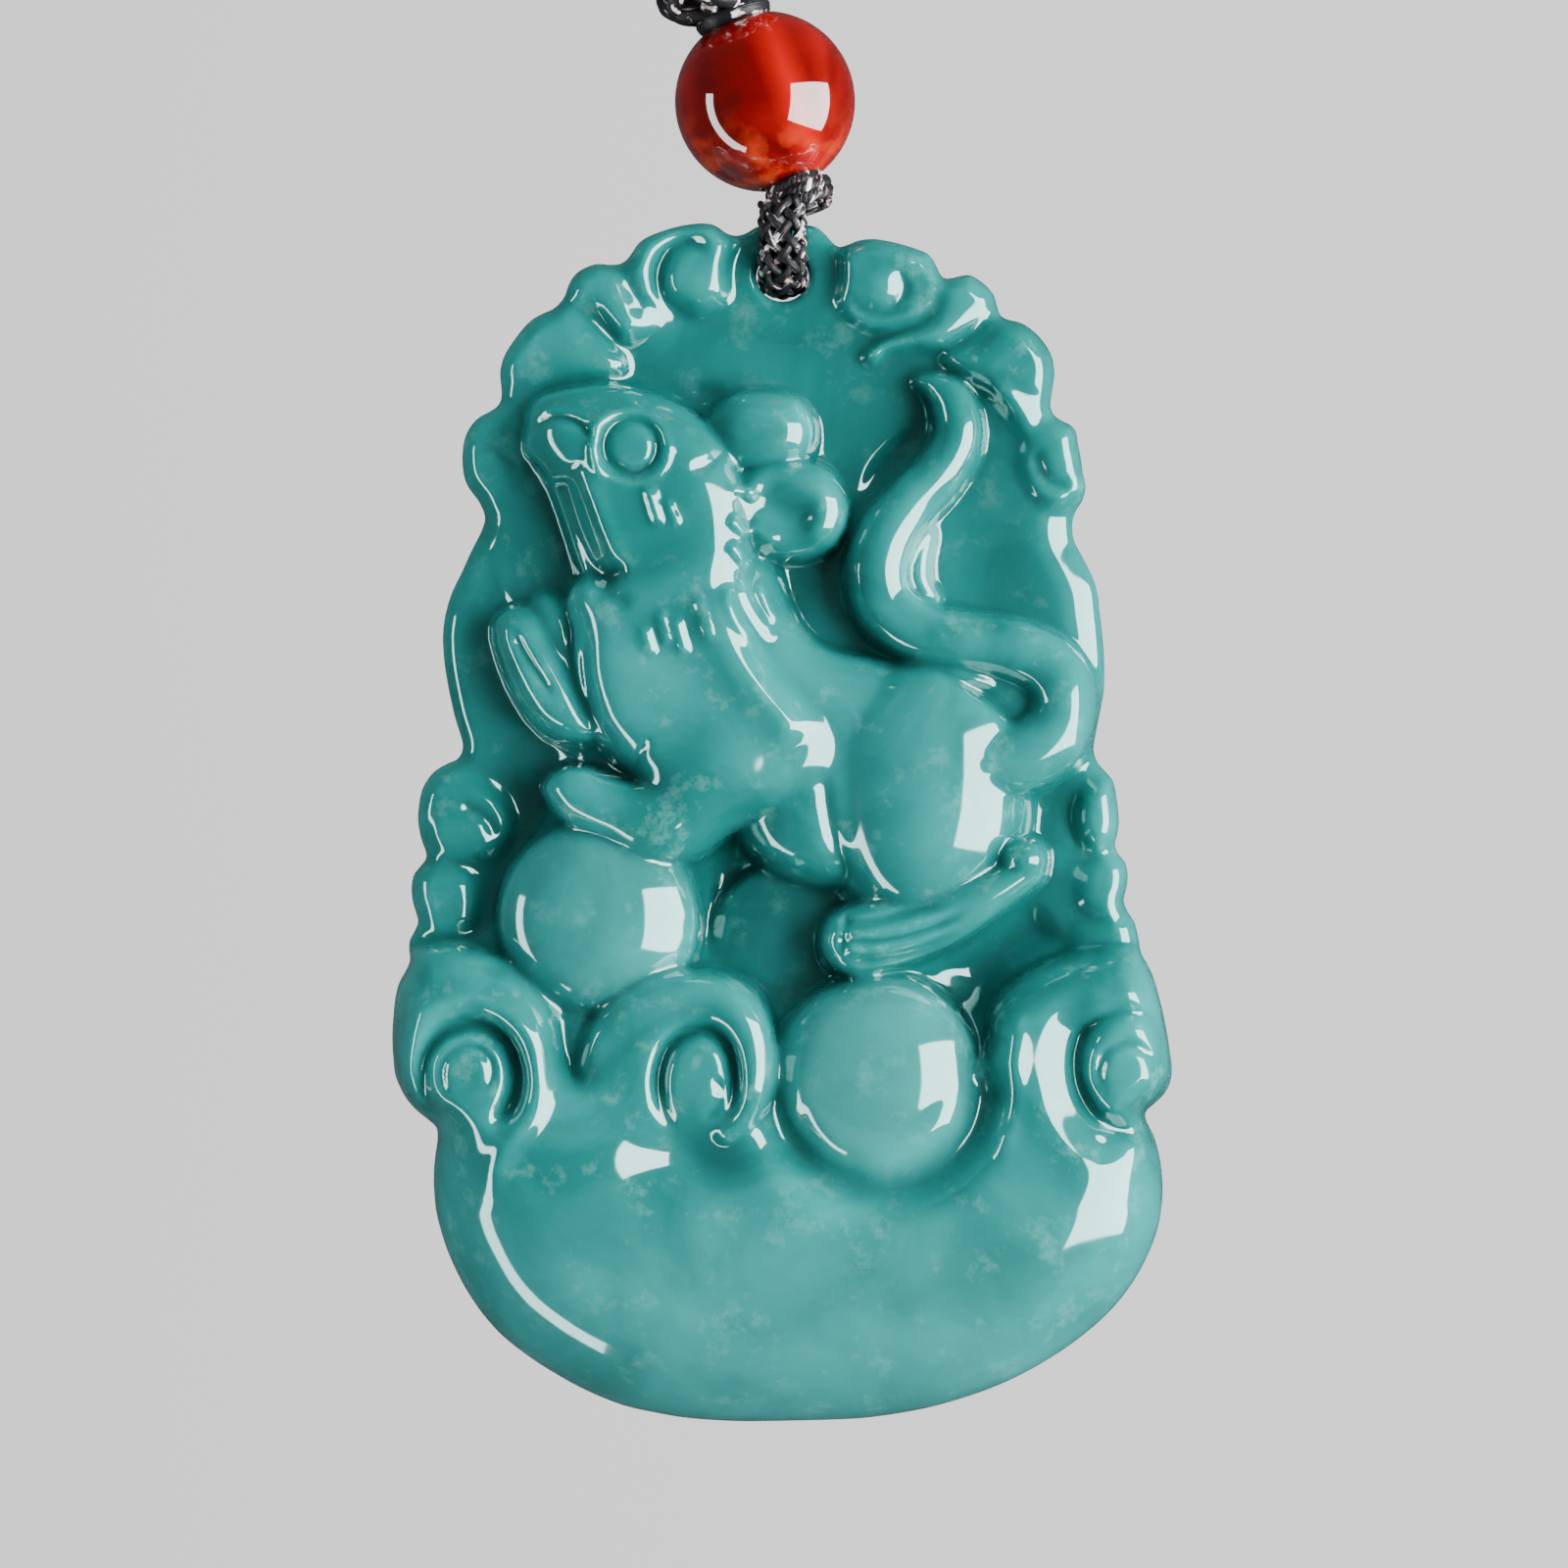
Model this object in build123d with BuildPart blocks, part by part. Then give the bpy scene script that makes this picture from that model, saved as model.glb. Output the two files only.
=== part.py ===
from build123d import *
from collections import namedtuple
from math import cos, hypot, pi, radians, sin, tan
import os

# A carved jade pendant on its cord, in millimetres. The origin is the inner side of the top
# of the cord's hanging loop, Z points up, and the carved face looks towards -Y.

# Jade plaque
pendant_width = 34.5
pendant_height = 53.2
pendant_depth = 8.0
ground_thickness = 3.0
border_thickness = 3.7
back_dome = 0.8
rim_round = 0.6
border_round = 0.5

# Eye of the plaque, where the cord goes through
eye_thickness = 2.3
eye_radius = 2.3
eye_recess_radius = 2.75
bridge_height = 1.2

# Cord loop through the eye, a flat braid
braid_width = 1.9
braid_thickness = 1.3
braid_play = 0.3
loop_clearance = 0.1
loop_turn = 250
knot_clearance = 0.05

# Knots and bead, strung on one line that leans to the left
string_lean = 20.5
bead_diameter = 8.0
thread_diameter = 1.1
bore_clearance = 0.2
bore_round = 0.2
lower_knot_width = 3.1
lower_knot_height = 1.9
lower_knot_overhang = 0.15
lower_knot_round = 0.7
lower_knot_nesting = 0.5
lower_knot_side = 0.78
lower_knot_gap = 0.2
upper_knot_width = 6.2
upper_knot_height = 4.6
upper_knot_nesting = 0.73
upper_knot_side = 1.4
upper_knot_drop = 22.3

# Hanging cord: its route from the upper knot round the loop and back, as (x, z)
cord_diameter = 1.5
cord_route = [
    (-0.22, -20.38),
    (-1.35, -17.50),
    (-2.90, -14.15),
    (-4.35, -10.45),
    (-5.20, -6.60),
    (-5.20, -2.30),
    (-2.15, 0.75),
    (2.15, 0.75),
    (5.20, -2.30),
    (5.20, -6.60),
    (4.50, -9.85),
    (3.10, -13.05),
    (1.45, -16.45),
    (1.37, -19.79),
]

# Shares: of a bend's shorter run that its fillet takes, of the tightest curve of the lower
# knot's end that its rounding takes, and of the plaque's depth that its blank is cut from
bend_share = 0.45
knot_round_share = 0.8
blank_share = 1.1

# Sizes that follow from those
bead_radius = bead_diameter / 2
loop_inner_radius = hypot(eye_thickness / 2, bridge_height / 2) + loop_clearance
loop_radius = loop_inner_radius + braid_thickness / 2
hole_for_width = braid_width + 2 * braid_play
hole_for_loop = loop_inner_radius + braid_thickness - bridge_height / 2 + braid_play
hole_diameter = max(hole_for_width, hole_for_loop)
hole_radius = hole_diameter / 2
lower_knot_depth = 2 * (loop_radius + lower_knot_overhang)
bore_diameter = thread_diameter + 2 * bore_clearance

# Places along the leaning string, from the upper knot down
string_down = Vector(sin(radians(string_lean)), 0, -cos(radians(string_lean)))
upper_knot_place = Vector(upper_knot_side, 0, -upper_knot_drop)
upper_step = bead_radius + upper_knot_height / 2 - upper_knot_nesting
bead_place = upper_knot_place + string_down * upper_step
lower_step = bead_radius + lower_knot_height / 2 - lower_knot_nesting
lower_knot_place = bead_place + string_down * lower_step
crown_top = lower_knot_place.Z - lower_knot_height / 2 - lower_knot_gap
hole_place = Vector(lower_knot_place.X - lower_knot_side, 0, crown_top - bridge_height - hole_radius)
loop_place = hole_place + Vector(0, 0, hole_radius + bridge_height / 2)
string_side = Vector(cos(radians(string_lean)), 0, sin(radians(string_lean)))

# The plaque is laid out from the middle of its foot. Across is a share of its width, up of
# its height, and crest, the height above the back, of its depth.
back_y = eye_thickness / 2 + back_dome
foot_place = Vector(hole_place.X, back_y, crown_top - pendant_height)


def relief_plane(across, up, height, lean=0.0):
    place = foot_place + Vector(across * pendant_width, -height, up * pendant_height)
    lean_dir = (cos(radians(lean)), 0, sin(radians(lean)))
    return Plane(origin=place, x_dir=lean_dir, z_dir=(0, -1, 0))


# Outline: a round of arcs, clockwise from the left of the crown. Each starts in a notch and
# swells through its crest to the next row's notch.
Scallop = namedtuple("Scallop", "name notch_across notch_up crest_across crest_up")
outline = [
    Scallop("crown", -0.058, 0.987, 0.004, 1.0),
    Scallop("right curl", 0.072, 0.978, 0.155, 0.980),
    Scallop("right leaf", 0.211, 0.951, 0.255, 0.948),
    Scallop("right fan", 0.283, 0.920, 0.339, 0.894),
    Scallop("right bud", 0.348, 0.839, 0.385, 0.796),
    Scallop("right side", 0.372, 0.748, 0.413, 0.648),
    Scallop("right boss", 0.401, 0.552, 0.431, 0.518),
    Scallop("right lobe", 0.426, 0.480, 0.444, 0.455),
    Scallop("right step", 0.436, 0.429, 0.455, 0.410),
    Scallop("right scroll", 0.461, 0.386, 0.499, 0.318),
    Scallop("right haunch", 0.464, 0.254, 0.487, 0.194),
    Scallop("right foot", 0.460, 0.129, 0.262, 0.029),
    Scallop("left foot", 0.014, 0.004, -0.220, 0.021),
    Scallop("left haunch", -0.400, 0.117, -0.446, 0.190),
    Scallop("left scroll", -0.444, 0.242, -0.499, 0.318),
    Scallop("left step", -0.475, 0.384, -0.480, 0.399),
    Scallop("left lobe", -0.467, 0.415, -0.476, 0.445),
    Scallop("left boss", -0.456, 0.470, -0.465, 0.516),
    Scallop("left side", -0.415, 0.548, -0.435, 0.652),
    Scallop("left bud", -0.382, 0.752, -0.411, 0.796),
    Scallop("left fan", -0.363, 0.846, -0.353, 0.891),
    Scallop("left leaf", -0.290, 0.925, -0.267, 0.954),
    Scallop("left curl", -0.218, 0.962, -0.149, 0.994),
]

# Domes: egg shapes that rise from the ground. Half length and half width are shares of the
# plaque's width, and the long axis leans by so many degrees from level.
Dome = namedtuple("Dome", "name across up half_length half_width crest lean")
domes = [
    Dome("base", 0.004, 0.174, 0.480, 0.266, 0.98, 0),
    Dome("left mound", -0.387, 0.307, 0.118, 0.112, 0.86, 0),
    Dome("left knob", -0.393, 0.291, 0.050, 0.046, 0.93, 90),
    Dome("middle mound", -0.132, 0.300, 0.125, 0.118, 0.90, 0),
    Dome("middle knob", -0.109, 0.277, 0.058, 0.042, 0.99, 90),
    Dome("right mound", 0.385, 0.303, 0.132, 0.125, 0.86, 0),
    Dome("right knob", 0.435, 0.295, 0.056, 0.054, 0.93, 90),
    Dome("left ball", -0.234, 0.419, 0.129, 0.1285, 0.98, 0),
    Dome("right ball", 0.120, 0.288, 0.134, 0.1335, 1.0, 0),
    Dome("body", 0.005, 0.575, 0.215, 0.138, 0.95, -38),
    Dome("chest", -0.140, 0.645, 0.140, 0.098, 0.90, -68),
    Dome("belly", 0.020, 0.480, 0.110, 0.058, 0.86, -15),
    Dome("thigh", 0.190, 0.521, 0.152, 0.114, 0.985, 96),
    Dome("hind foot", 0.195, 0.421, 0.130, 0.040, 0.93, 20),
    Dome("hind toes", 0.087, 0.401, 0.045, 0.040, 0.95, 70),
    Dome("forefoot", -0.195, 0.500, 0.108, 0.040, 0.93, -12),
    Dome("head", -0.175, 0.774, 0.130, 0.112, 0.925, -35),
    Dome("snout", -0.258, 0.803, 0.070, 0.042, 0.83, -25),
    Dome("nose", -0.289, 0.810, 0.035, 0.024, 0.86, -8),
    Dome("jaw", -0.215, 0.738, 0.072, 0.050, 0.80, -60),
    Dome("upper ear", -0.018, 0.825, 0.072, 0.047, 0.72, 4),
    Dome("lower ear", 0.010, 0.757, 0.076, 0.062, 0.74, 12),
    Dome("left curl knob", -0.114, 0.944, 0.026, 0.024, 0.54, 0),
    Dome("right curl knob", 0.124, 0.938, 0.023, 0.021, 0.54, 0),
    Dome("left bud knob", -0.364, 0.796, 0.032, 0.030, 0.53, 0),
    Dome("right bud knob", 0.352, 0.804, 0.030, 0.028, 0.53, 0),
    Dome("left boss knob", -0.400, 0.490, 0.046, 0.044, 0.60, 0),
    Dome("left lobe knob", -0.436, 0.437, 0.034, 0.032, 0.57, 0),
    Dome("right boss knob", 0.403, 0.496, 0.034, 0.032, 0.57, 0),
]

# Bands: round ribs along an arc about a centre, from one angle to the other. Radius and rib,
# which is the rib's own radius, are shares of the plaque's width.
Band = namedtuple("Band", "name across up radius rib crest start turn")
bands = [
    Band("left scroll band", -0.391, 0.295, 0.104, 0.030, 0.94, -45, 150),
    Band("middle scroll band", -0.124, 0.295, 0.092, 0.028, 0.97, -55, 225),
    Band("right scroll band", 0.403, 0.299, 0.114, 0.030, 0.94, 72, 150),
    Band("left curl band", -0.116, 0.945, 0.046, 0.015, 0.53, -25, 265),
    Band("right curl band", 0.124, 0.938, 0.038, 0.014, 0.53, -60, 265),
]

# Limbs: round tubes along a bent line of points, given across and up. A web under each, which
# is this share of its width, roots it in the ground.
web_share = 0.7
Limb = namedtuple("Limb", "name girth crest points")
limbs = [
    Limb("tail", 0.033, 0.71, [
        (0.188, 0.865),
        (0.232, 0.815),
        (0.142, 0.748),
        (0.122, 0.675),
        (0.220, 0.648),
        (0.336, 0.652),
        (0.388, 0.595),
        (0.316, 0.538),
    ]),
    Limb("raised forepaw", 0.029, 0.80, [
        (-0.352, 0.668),
        (-0.338, 0.612),
        (-0.272, 0.567),
        (-0.180, 0.560),
    ]),
]

# Sunken ground behind the rat, an upright oval in the raised border
field_across = 0.0
field_up = 0.635
field_width = 0.66
field_height = 0.50


def bend_radii(points):
    """Give the radius of each bend that its two runs leave room for."""
    radii = []
    for before, here, after in zip(points, points[1:], points[2:]):
        arriving = here - before
        leaving = after - here
        half_turn = radians(arriving.get_angle(leaving)) / 2
        radii.append(bend_share * min(arriving.length, leaving.length) / tan(half_turn))
    return radii


def half_ellipse(half_length, half_width):
    """Give the exact curve of half an ellipse, as a Bezier curve, which a STEP file keeps."""
    corners = [
        (half_length, 0),
        (half_length, 2 * half_width),
        (-half_length, 2 * half_width),
        (-half_length, 0),
    ]
    return Bezier(*corners, weights=(1, 1 / 3, 1 / 3, 1))


def add_dome(dome):
    half_length = dome.half_length * pendant_width
    half_width = dome.half_width * pendant_width
    height = dome.crest * pendant_depth - half_width
    plane = relief_plane(dome.across, dome.up, height, dome.lean)
    with BuildSketch(Plane(plane.origin, plane.x_dir, plane.y_dir)) as half_egg:
        with BuildLine():
            half_ellipse(half_length, half_width)
            Line((-half_length, 0), (half_length, 0))
        make_face()
    revolve(half_egg.sketch, axis=Axis(plane.origin, plane.x_dir), revolution_arc=360)


def add_band(band):
    rib = band.rib * pendant_width
    radius = band.radius * pendant_width
    height = band.crest * pendant_depth - rib
    plane = relief_plane(band.across, band.up, height)
    with BuildLine(plane) as path:
        CenterArc((0, 0), radius, band.start, band.turn)
    with BuildSketch(Plane(origin=path.line @ 0, z_dir=path.line % 0)) as section:
        Circle(rib)
    sweep(section.sketch, path=path.line)
    with Locations(path.line @ 0, path.line @ 1):
        Sphere(rib)


def add_limb(limb):
    girth = limb.girth * pendant_width
    height = limb.crest * pendant_depth - girth
    points = [relief_plane(across, up, height).origin for across, up in limb.points]
    with BuildLine() as path:
        FilletPolyline(*points, radius=bend_radii(points))
    section_plane = Plane(path.line @ 0, (0, -1, 0), path.line % 0)
    with BuildSketch(section_plane) as section:
        Circle(girth)
    sweep(section.sketch, path=path.line)
    with Locations(path.line @ 0, path.line @ 1):
        Sphere(girth)
    with BuildSketch(section_plane) as web:
        Rectangle(height, web_share * 2 * girth, align=(Align.MAX, Align.CENTER))
    sweep(web.sketch, path=path.line)


def outline_point(across, up):
    return (across * pendant_width, up * pendant_height)


os.makedirs("parts", exist_ok=True)

# The plaque's plan, its notches rounded as its rim is
with BuildSketch() as plan:
    with BuildLine():
        for scallop, after in zip(outline, outline[1:] + outline[:1]):
            start = outline_point(scallop.notch_across, scallop.notch_up)
            crest = outline_point(scallop.crest_across, scallop.crest_up)
            finish = outline_point(after.notch_across, after.notch_up)
            ThreePointArc(start, crest, finish)
    make_face()
    fillet(plan.vertices(), rim_round)

# The blank that the plaque is carved from: its plan with a slightly domed, rounded back
dome_radius = ((pendant_height / 2) ** 2 + back_dome**2) / (2 * back_dome)
dome_centre = foot_place + Vector(0, -dome_radius, pendant_height / 2)
with BuildPart() as blank:
    with BuildSketch(relief_plane(0, 0, 0)):
        add(plan.sketch)
    extrude(amount=blank_share * pendant_depth)
    with Locations(dome_centre):
        Sphere(dome_radius, mode=Mode.INTERSECT)
    fillet(blank.faces().sort_by(Axis.Y)[-1].edges(), rim_round)

# The raised border, open over the sunken field and around the eye
hole_up = (hole_place.Z - foot_place.Z) / pendant_height
eye_point = outline_point(0, hole_up)
with BuildPart() as border:
    with BuildSketch(relief_plane(0, 0, 0)):
        add(plan.sketch)
    extrude(amount=border_thickness)
    fillet(border.faces().sort_by(Axis.Y)[0].edges(), border_round)
    with BuildSketch(relief_plane(0, 0, ground_thickness)):
        with Locations(outline_point(field_across, field_up)):
            Ellipse(field_width * pendant_width / 2, field_height * pendant_height / 2)
        with Locations(eye_point):
            Circle(eye_recess_radius)
    extrude(amount=border_thickness, mode=Mode.SUBTRACT)

# Jade plaque with its relief
with BuildPart() as jade_pendant:
    add(border.part)
    for dome in domes:
        add_dome(dome)
    for band in bands:
        add_band(band)
    for limb in limbs:
        add_limb(limb)
    with BuildSketch(relief_plane(0, hole_up, ground_thickness)):
        Circle(eye_recess_radius)
    extrude(amount=pendant_depth, mode=Mode.SUBTRACT)
    eye_front = relief_plane(0, hole_up, back_y + eye_thickness / 2)
    with BuildSketch(eye_front):
        Circle(eye_radius)
    extrude(amount=-eye_thickness / 2)
    add(blank.part, mode=Mode.INTERSECT)
    with BuildSketch(eye_front):
        Circle(hole_radius)
    extrude(amount=pendant_depth, both=True, mode=Mode.SUBTRACT)
jade_pendant.part.label = "jade_pendant"
export_step(jade_pendant.part, "parts/jade_pendant.step")


def lower_knot_wrap(grow=0.0):
    """The wrap's plain barrel, grown all round by a clearance where one is given."""
    wrap_plane = Plane(origin=lower_knot_place, x_dir=string_side, z_dir=(0, -1, 0))
    with BuildPart() as wrap:
        with BuildSketch(wrap_plane) as section:
            Ellipse(lower_knot_width / 2 + grow, lower_knot_height / 2 + grow)
        extrude(section.sketch, amount=lower_knot_depth / 2 + grow, both=True)
        ends = wrap.faces().sort_by(Axis.Y)
        tightest = lower_knot_height**2 / (2 * lower_knot_width)
        fillet(ends[0].edges() + ends[-1].edges(), min(lower_knot_round, knot_round_share * tightest))
    return wrap.part


# Cord loop through the eye, round the bridge and up into the lower knot
half_turn = radians(loop_turn / 2)
loop_start = Vector(0, -sin(half_turn), -cos(half_turn))
loop_tangent = Vector(0, -cos(half_turn), sin(half_turn))
with BuildPart() as pendant_loop:
    with BuildSketch(Plane(loop_place + loop_start * loop_radius, (1, 0, 0), loop_tangent)):
        Ellipse(braid_width / 2, braid_thickness / 2)
    revolve(axis=Axis(loop_place, (1, 0, 0)), revolution_arc=loop_turn)
    add(lower_knot_wrap(knot_clearance), mode=Mode.SUBTRACT)
pendant_loop.part.label = "pendant_loop"
export_step(pendant_loop.part, "parts/pendant_loop.step")

# Lower knot, hollowed where it nests against the bead
with BuildPart() as lower_knot:
    add(lower_knot_wrap())
    with Locations(bead_place):
        Sphere(bead_radius + knot_clearance, mode=Mode.SUBTRACT)
lower_knot.part.label = "lower_knot"
export_step(lower_knot.part, "parts/lower_knot.step")

# Bead, drilled along the string, with the bore's mouths rounded
with BuildPart() as agate_bead:
    with Locations(bead_place):
        Sphere(bead_radius)
    with BuildSketch(Plane(bead_place, string_side, string_down)):
        Circle(bore_diameter / 2)
    extrude(amount=bead_diameter, both=True, mode=Mode.SUBTRACT)
    fillet(agate_bead.edges().filter_by(GeomType.CIRCLE), bore_round)
agate_bead.part.label = "agate_bead"
export_step(agate_bead.part, "parts/agate_bead.step")

# Thread inside the bore, from knot to knot
with BuildPart() as bead_thread:
    with BuildSketch(Plane(bead_place, string_side, string_down)):
        Circle(thread_diameter / 2)
    extrude(amount=bead_radius, both=True)
bead_thread.part.label = "bead_thread"
export_step(bead_thread.part, "parts/bead_thread.step")

# Upper knot, an egg turned about the string, hollowed where it nests against the bead
with BuildPart() as upper_knot:
    with BuildSketch(Plane(upper_knot_place, -string_down, (0, -1, 0))):
        with BuildLine():
            half_ellipse(upper_knot_height / 2, upper_knot_width / 2)
            Line((-upper_knot_height / 2, 0), (upper_knot_height / 2, 0))
        make_face()
        with Locations((-upper_step, 0)):
            Circle(bead_radius + knot_clearance, mode=Mode.SUBTRACT)
    revolve(axis=Axis(upper_knot_place, -string_down), revolution_arc=360)
upper_knot.part.label = "upper_knot"
export_step(upper_knot.part, "parts/upper_knot.step")

# Hanging cord
cord_points = [Vector(x, 0, z) for x, z in cord_route]
cord_radii = bend_radii(cord_points)
with BuildPart() as hanging_cord:
    with BuildLine() as cord_path:
        FilletPolyline(*cord_points, radius=cord_radii)
    with BuildSketch(Plane(origin=cord_path.line @ 0, z_dir=cord_path.line % 0)):
        Circle(cord_diameter / 2)
    sweep(path=cord_path.line)
hanging_cord.part.label = "hanging_cord"
export_step(hanging_cord.part, "parts/hanging_cord.step")

cord_length = cord_path.wire().length
plain_volume = pi * cord_diameter**2 / 4 * cord_length
print("cord length", round(cord_length, 2))
print("cord radii", [round(radius, 1) for radius in cord_radii])
print("cord volume over section times length", round(hanging_cord.part.volume / plain_volume, 4))
print("hole at", round(hole_place.X, 3), round(hole_place.Z, 3))
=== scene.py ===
import math

import bpy
import numpy as np
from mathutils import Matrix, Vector
from mathutils.geometry import delaunay_2d_cdt


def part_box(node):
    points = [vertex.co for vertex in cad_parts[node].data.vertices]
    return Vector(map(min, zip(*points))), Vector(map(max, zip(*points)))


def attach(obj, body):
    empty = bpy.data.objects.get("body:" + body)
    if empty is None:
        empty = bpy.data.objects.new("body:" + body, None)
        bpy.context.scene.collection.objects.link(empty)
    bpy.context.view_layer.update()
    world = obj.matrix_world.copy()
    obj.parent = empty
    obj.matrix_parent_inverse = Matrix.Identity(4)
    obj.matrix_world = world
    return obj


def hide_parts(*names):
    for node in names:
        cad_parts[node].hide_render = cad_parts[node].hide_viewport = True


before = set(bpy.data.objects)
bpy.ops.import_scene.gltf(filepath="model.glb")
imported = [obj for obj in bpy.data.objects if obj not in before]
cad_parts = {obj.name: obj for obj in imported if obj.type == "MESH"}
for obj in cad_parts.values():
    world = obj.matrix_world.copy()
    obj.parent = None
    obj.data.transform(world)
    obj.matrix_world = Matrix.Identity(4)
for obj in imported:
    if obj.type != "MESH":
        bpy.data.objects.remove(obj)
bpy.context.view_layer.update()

MM = 0.001


# Camera: level, looking along +Y at the carved face

photo_size = 1600
photo_middle = photo_size / 2
jade_middle_px = 798.5
jade_foot_px = 1454.0
mm_per_px_across = 34.5 / 797
mm_per_px_up = 53.2 / 1233
jade_middle_x = 4.129
jade_foot_z = -86.035
back_y = 1.95


def across_mm(px):
    """X in mm of a place in the photograph."""
    return jade_middle_x + (px - jade_middle_px) * mm_per_px_across


def up_mm(py):
    """Z in mm of a place in the photograph."""
    return jade_foot_z + (jade_foot_px - py) * mm_per_px_up


camera_lens = 150.0
camera_sensor = 36.0
frame_width_mm = photo_size * mm_per_px_across
sharp_plane = 1.5
camera_data = bpy.data.cameras.new("camera")
camera_data.lens = camera_lens
camera_data.sensor_width = camera_sensor
camera_data.clip_start = 0.005
camera_data.clip_end = 20.0
camera = bpy.data.objects.new("camera", camera_data)
camera.location = (
    across_mm(photo_middle) * MM,
    -(frame_width_mm * camera_lens / camera_sensor + sharp_plane) * MM,
    up_mm(photo_middle) * MM,
)
camera.rotation_euler = (math.radians(90), 0, 0)
bpy.context.scene.collection.objects.link(camera)
bpy.context.scene.camera = camera


# Small tools


def add_mesh(name, vertices, faces):
    """Make a smooth mesh object from vertices in mm."""
    mesh = bpy.data.meshes.new(name)
    mesh.from_pydata([tuple(v) for v in np.asarray(vertices) * MM], [], [tuple(f) for f in faces])
    mesh.validate()
    mesh.update()
    mesh.polygons.foreach_set("use_smooth", [True] * len(mesh.polygons))
    piece = bpy.data.objects.new(name, mesh)
    bpy.context.scene.collection.objects.link(piece)
    return piece


def add_mark(piece, name, values):
    """Keep a number at each of a mesh's points, for its material."""
    attribute = piece.data.attributes.new(name, "FLOAT", "POINT")
    attribute.data.foreach_set("value", np.asarray(values, np.float32))


def round_profile(share):
    """A quarter circle's height: 0 at share 0, 1 from share 1 on."""
    share = np.clip(share, 0, 1)
    return np.sqrt(1 - (1 - share) ** 2)


def bulge(share):
    """A half circle's height: 1 at share 0, 0 from share 1 on."""
    return np.clip(1 - share**2, 0, 1) ** 0.5


def ease(value, low, high):
    """A smooth step from 0 at low to 1 at high."""
    share = np.clip((value - low) / (high - low), 0, 1)
    return share * share * (3 - 2 * share)


def smooth_line(points, closed=False, spacing=2.5):
    """A Catmull-Rom line through the points, sampled at an even spacing."""
    points = np.asarray(points, float)
    if closed:
        padded = np.vstack([points[-1:], points, points[:2]])
    else:
        padded = np.vstack([2 * points[0] - points[1], points, 2 * points[-1] - points[-2]])
    t = np.linspace(0, 1, 12, endpoint=False)[:, None]
    pieces = [
        0.5 * (
            2 * start
            + (finish - before) * t
            + (2 * before - 5 * start + 4 * finish - after) * t**2
            + (3 * start - before - 3 * finish + after) * t**3
        )
        for before, start, finish, after in zip(padded, padded[1:], padded[2:], padded[3:])
    ]
    line = np.vstack(pieces)
    line = np.vstack([line, line[:1] if closed else points[-1:]])
    length = np.r_[0, np.cumsum(np.hypot(*np.diff(line[:, :2], axis=0).T))]
    count = max(int(round(length[-1] / spacing)), 3)
    places = np.linspace(0, length[-1], count + 1)
    if closed:
        places = places[:-1]
    return np.stack([np.interp(places, length, column) for column in line.T], axis=1)


# The jade's relief: heights in mm above its back plane, over a grid in the photograph's pixels

grid_step = 2.0
grid_x = np.arange(380, 1222, grid_step)
grid_y = np.arange(206, 1476, grid_step)
X, Y = (axis.astype(np.float32) for axis in np.meshgrid(grid_x, grid_y))


def window(points, margin):
    """The part of the grid within a margin of the points."""
    low = np.min(points, axis=0) - margin
    high = np.max(points, axis=0) + margin
    columns = slice(np.searchsorted(grid_x, low[0]), np.searchsorted(grid_x, high[0]) + 1)
    rows = slice(np.searchsorted(grid_y, low[1]), np.searchsorted(grid_y, high[1]) + 1)
    return rows, columns


def inside_contour(line, x, y):
    """True where a place lies inside the closed line."""
    within = np.zeros(x.shape, bool)
    for (x0, y0), (x1, y1) in zip(line, np.roll(line, -1, axis=0)):
        if y0 != y1:
            crossing = (y0 > y) != (y1 > y)
            within ^= crossing & (x < (x1 - x0) * (y - y0) / (y1 - y0) + x0)
    return within


def point_distance(line, x, y):
    """Distance to the nearest sample of a line, and which sample that is."""
    nearest = np.full(x.shape, 1e9, np.float32)
    which = np.zeros(x.shape, np.int32)
    for index, (px, py) in enumerate(line[:, :2]):
        distance = (x - px) ** 2 + (y - py) ** 2
        closer = distance < nearest
        nearest = np.where(closer, distance, nearest)
        which[closer] = index
    return np.sqrt(nearest), which


def segment_distance(line, x, y):
    """Exact distance to a closed line."""
    nearest = np.full(x.shape, 1e9)
    for start, finish in zip(line, np.roll(line, -1, axis=0)):
        run = finish - start
        share = ((x - start[0]) * run[0] + (y - start[1]) * run[1]) / max(run @ run, 1e-9)
        share = np.clip(share, 0, 1)
        distance = (x - start[0] - share * run[0]) ** 2 + (y - start[1] - share * run[1]) ** 2
        nearest = np.minimum(nearest, distance)
    return np.sqrt(nearest)


def depth_in(line, x, y):
    """A smooth distance inside a contour: the real one near it, with no creases further in."""
    total = np.zeros(x.shape, np.float32)
    nearest = np.full(x.shape, 1e9, np.float32)
    spacing = np.hypot(*(line[1] - line[0]))
    for px, py in line:
        square = (x - px) ** 2 + (y - py) ** 2
        nearest = np.minimum(nearest, square)
        total += 1 / np.maximum(square, 1) ** 2
    smooth = (np.pi / 2 / np.maximum(total * spacing, 1e-12)) ** (1 / 3)
    nearest = np.sqrt(nearest)
    return np.where(nearest < 2 * spacing, np.minimum(nearest, smooth), smooth)


def smooth_max(a, b, blend):
    """The higher of two heights, with a fillet of that size where they meet."""
    if blend <= 0:
        return np.maximum(a, b)
    share = np.clip(0.5 + 0.5 * (a - b) / blend, 0, 1)
    return b + (a - b) * share + blend * share * (1 - share)


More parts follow.
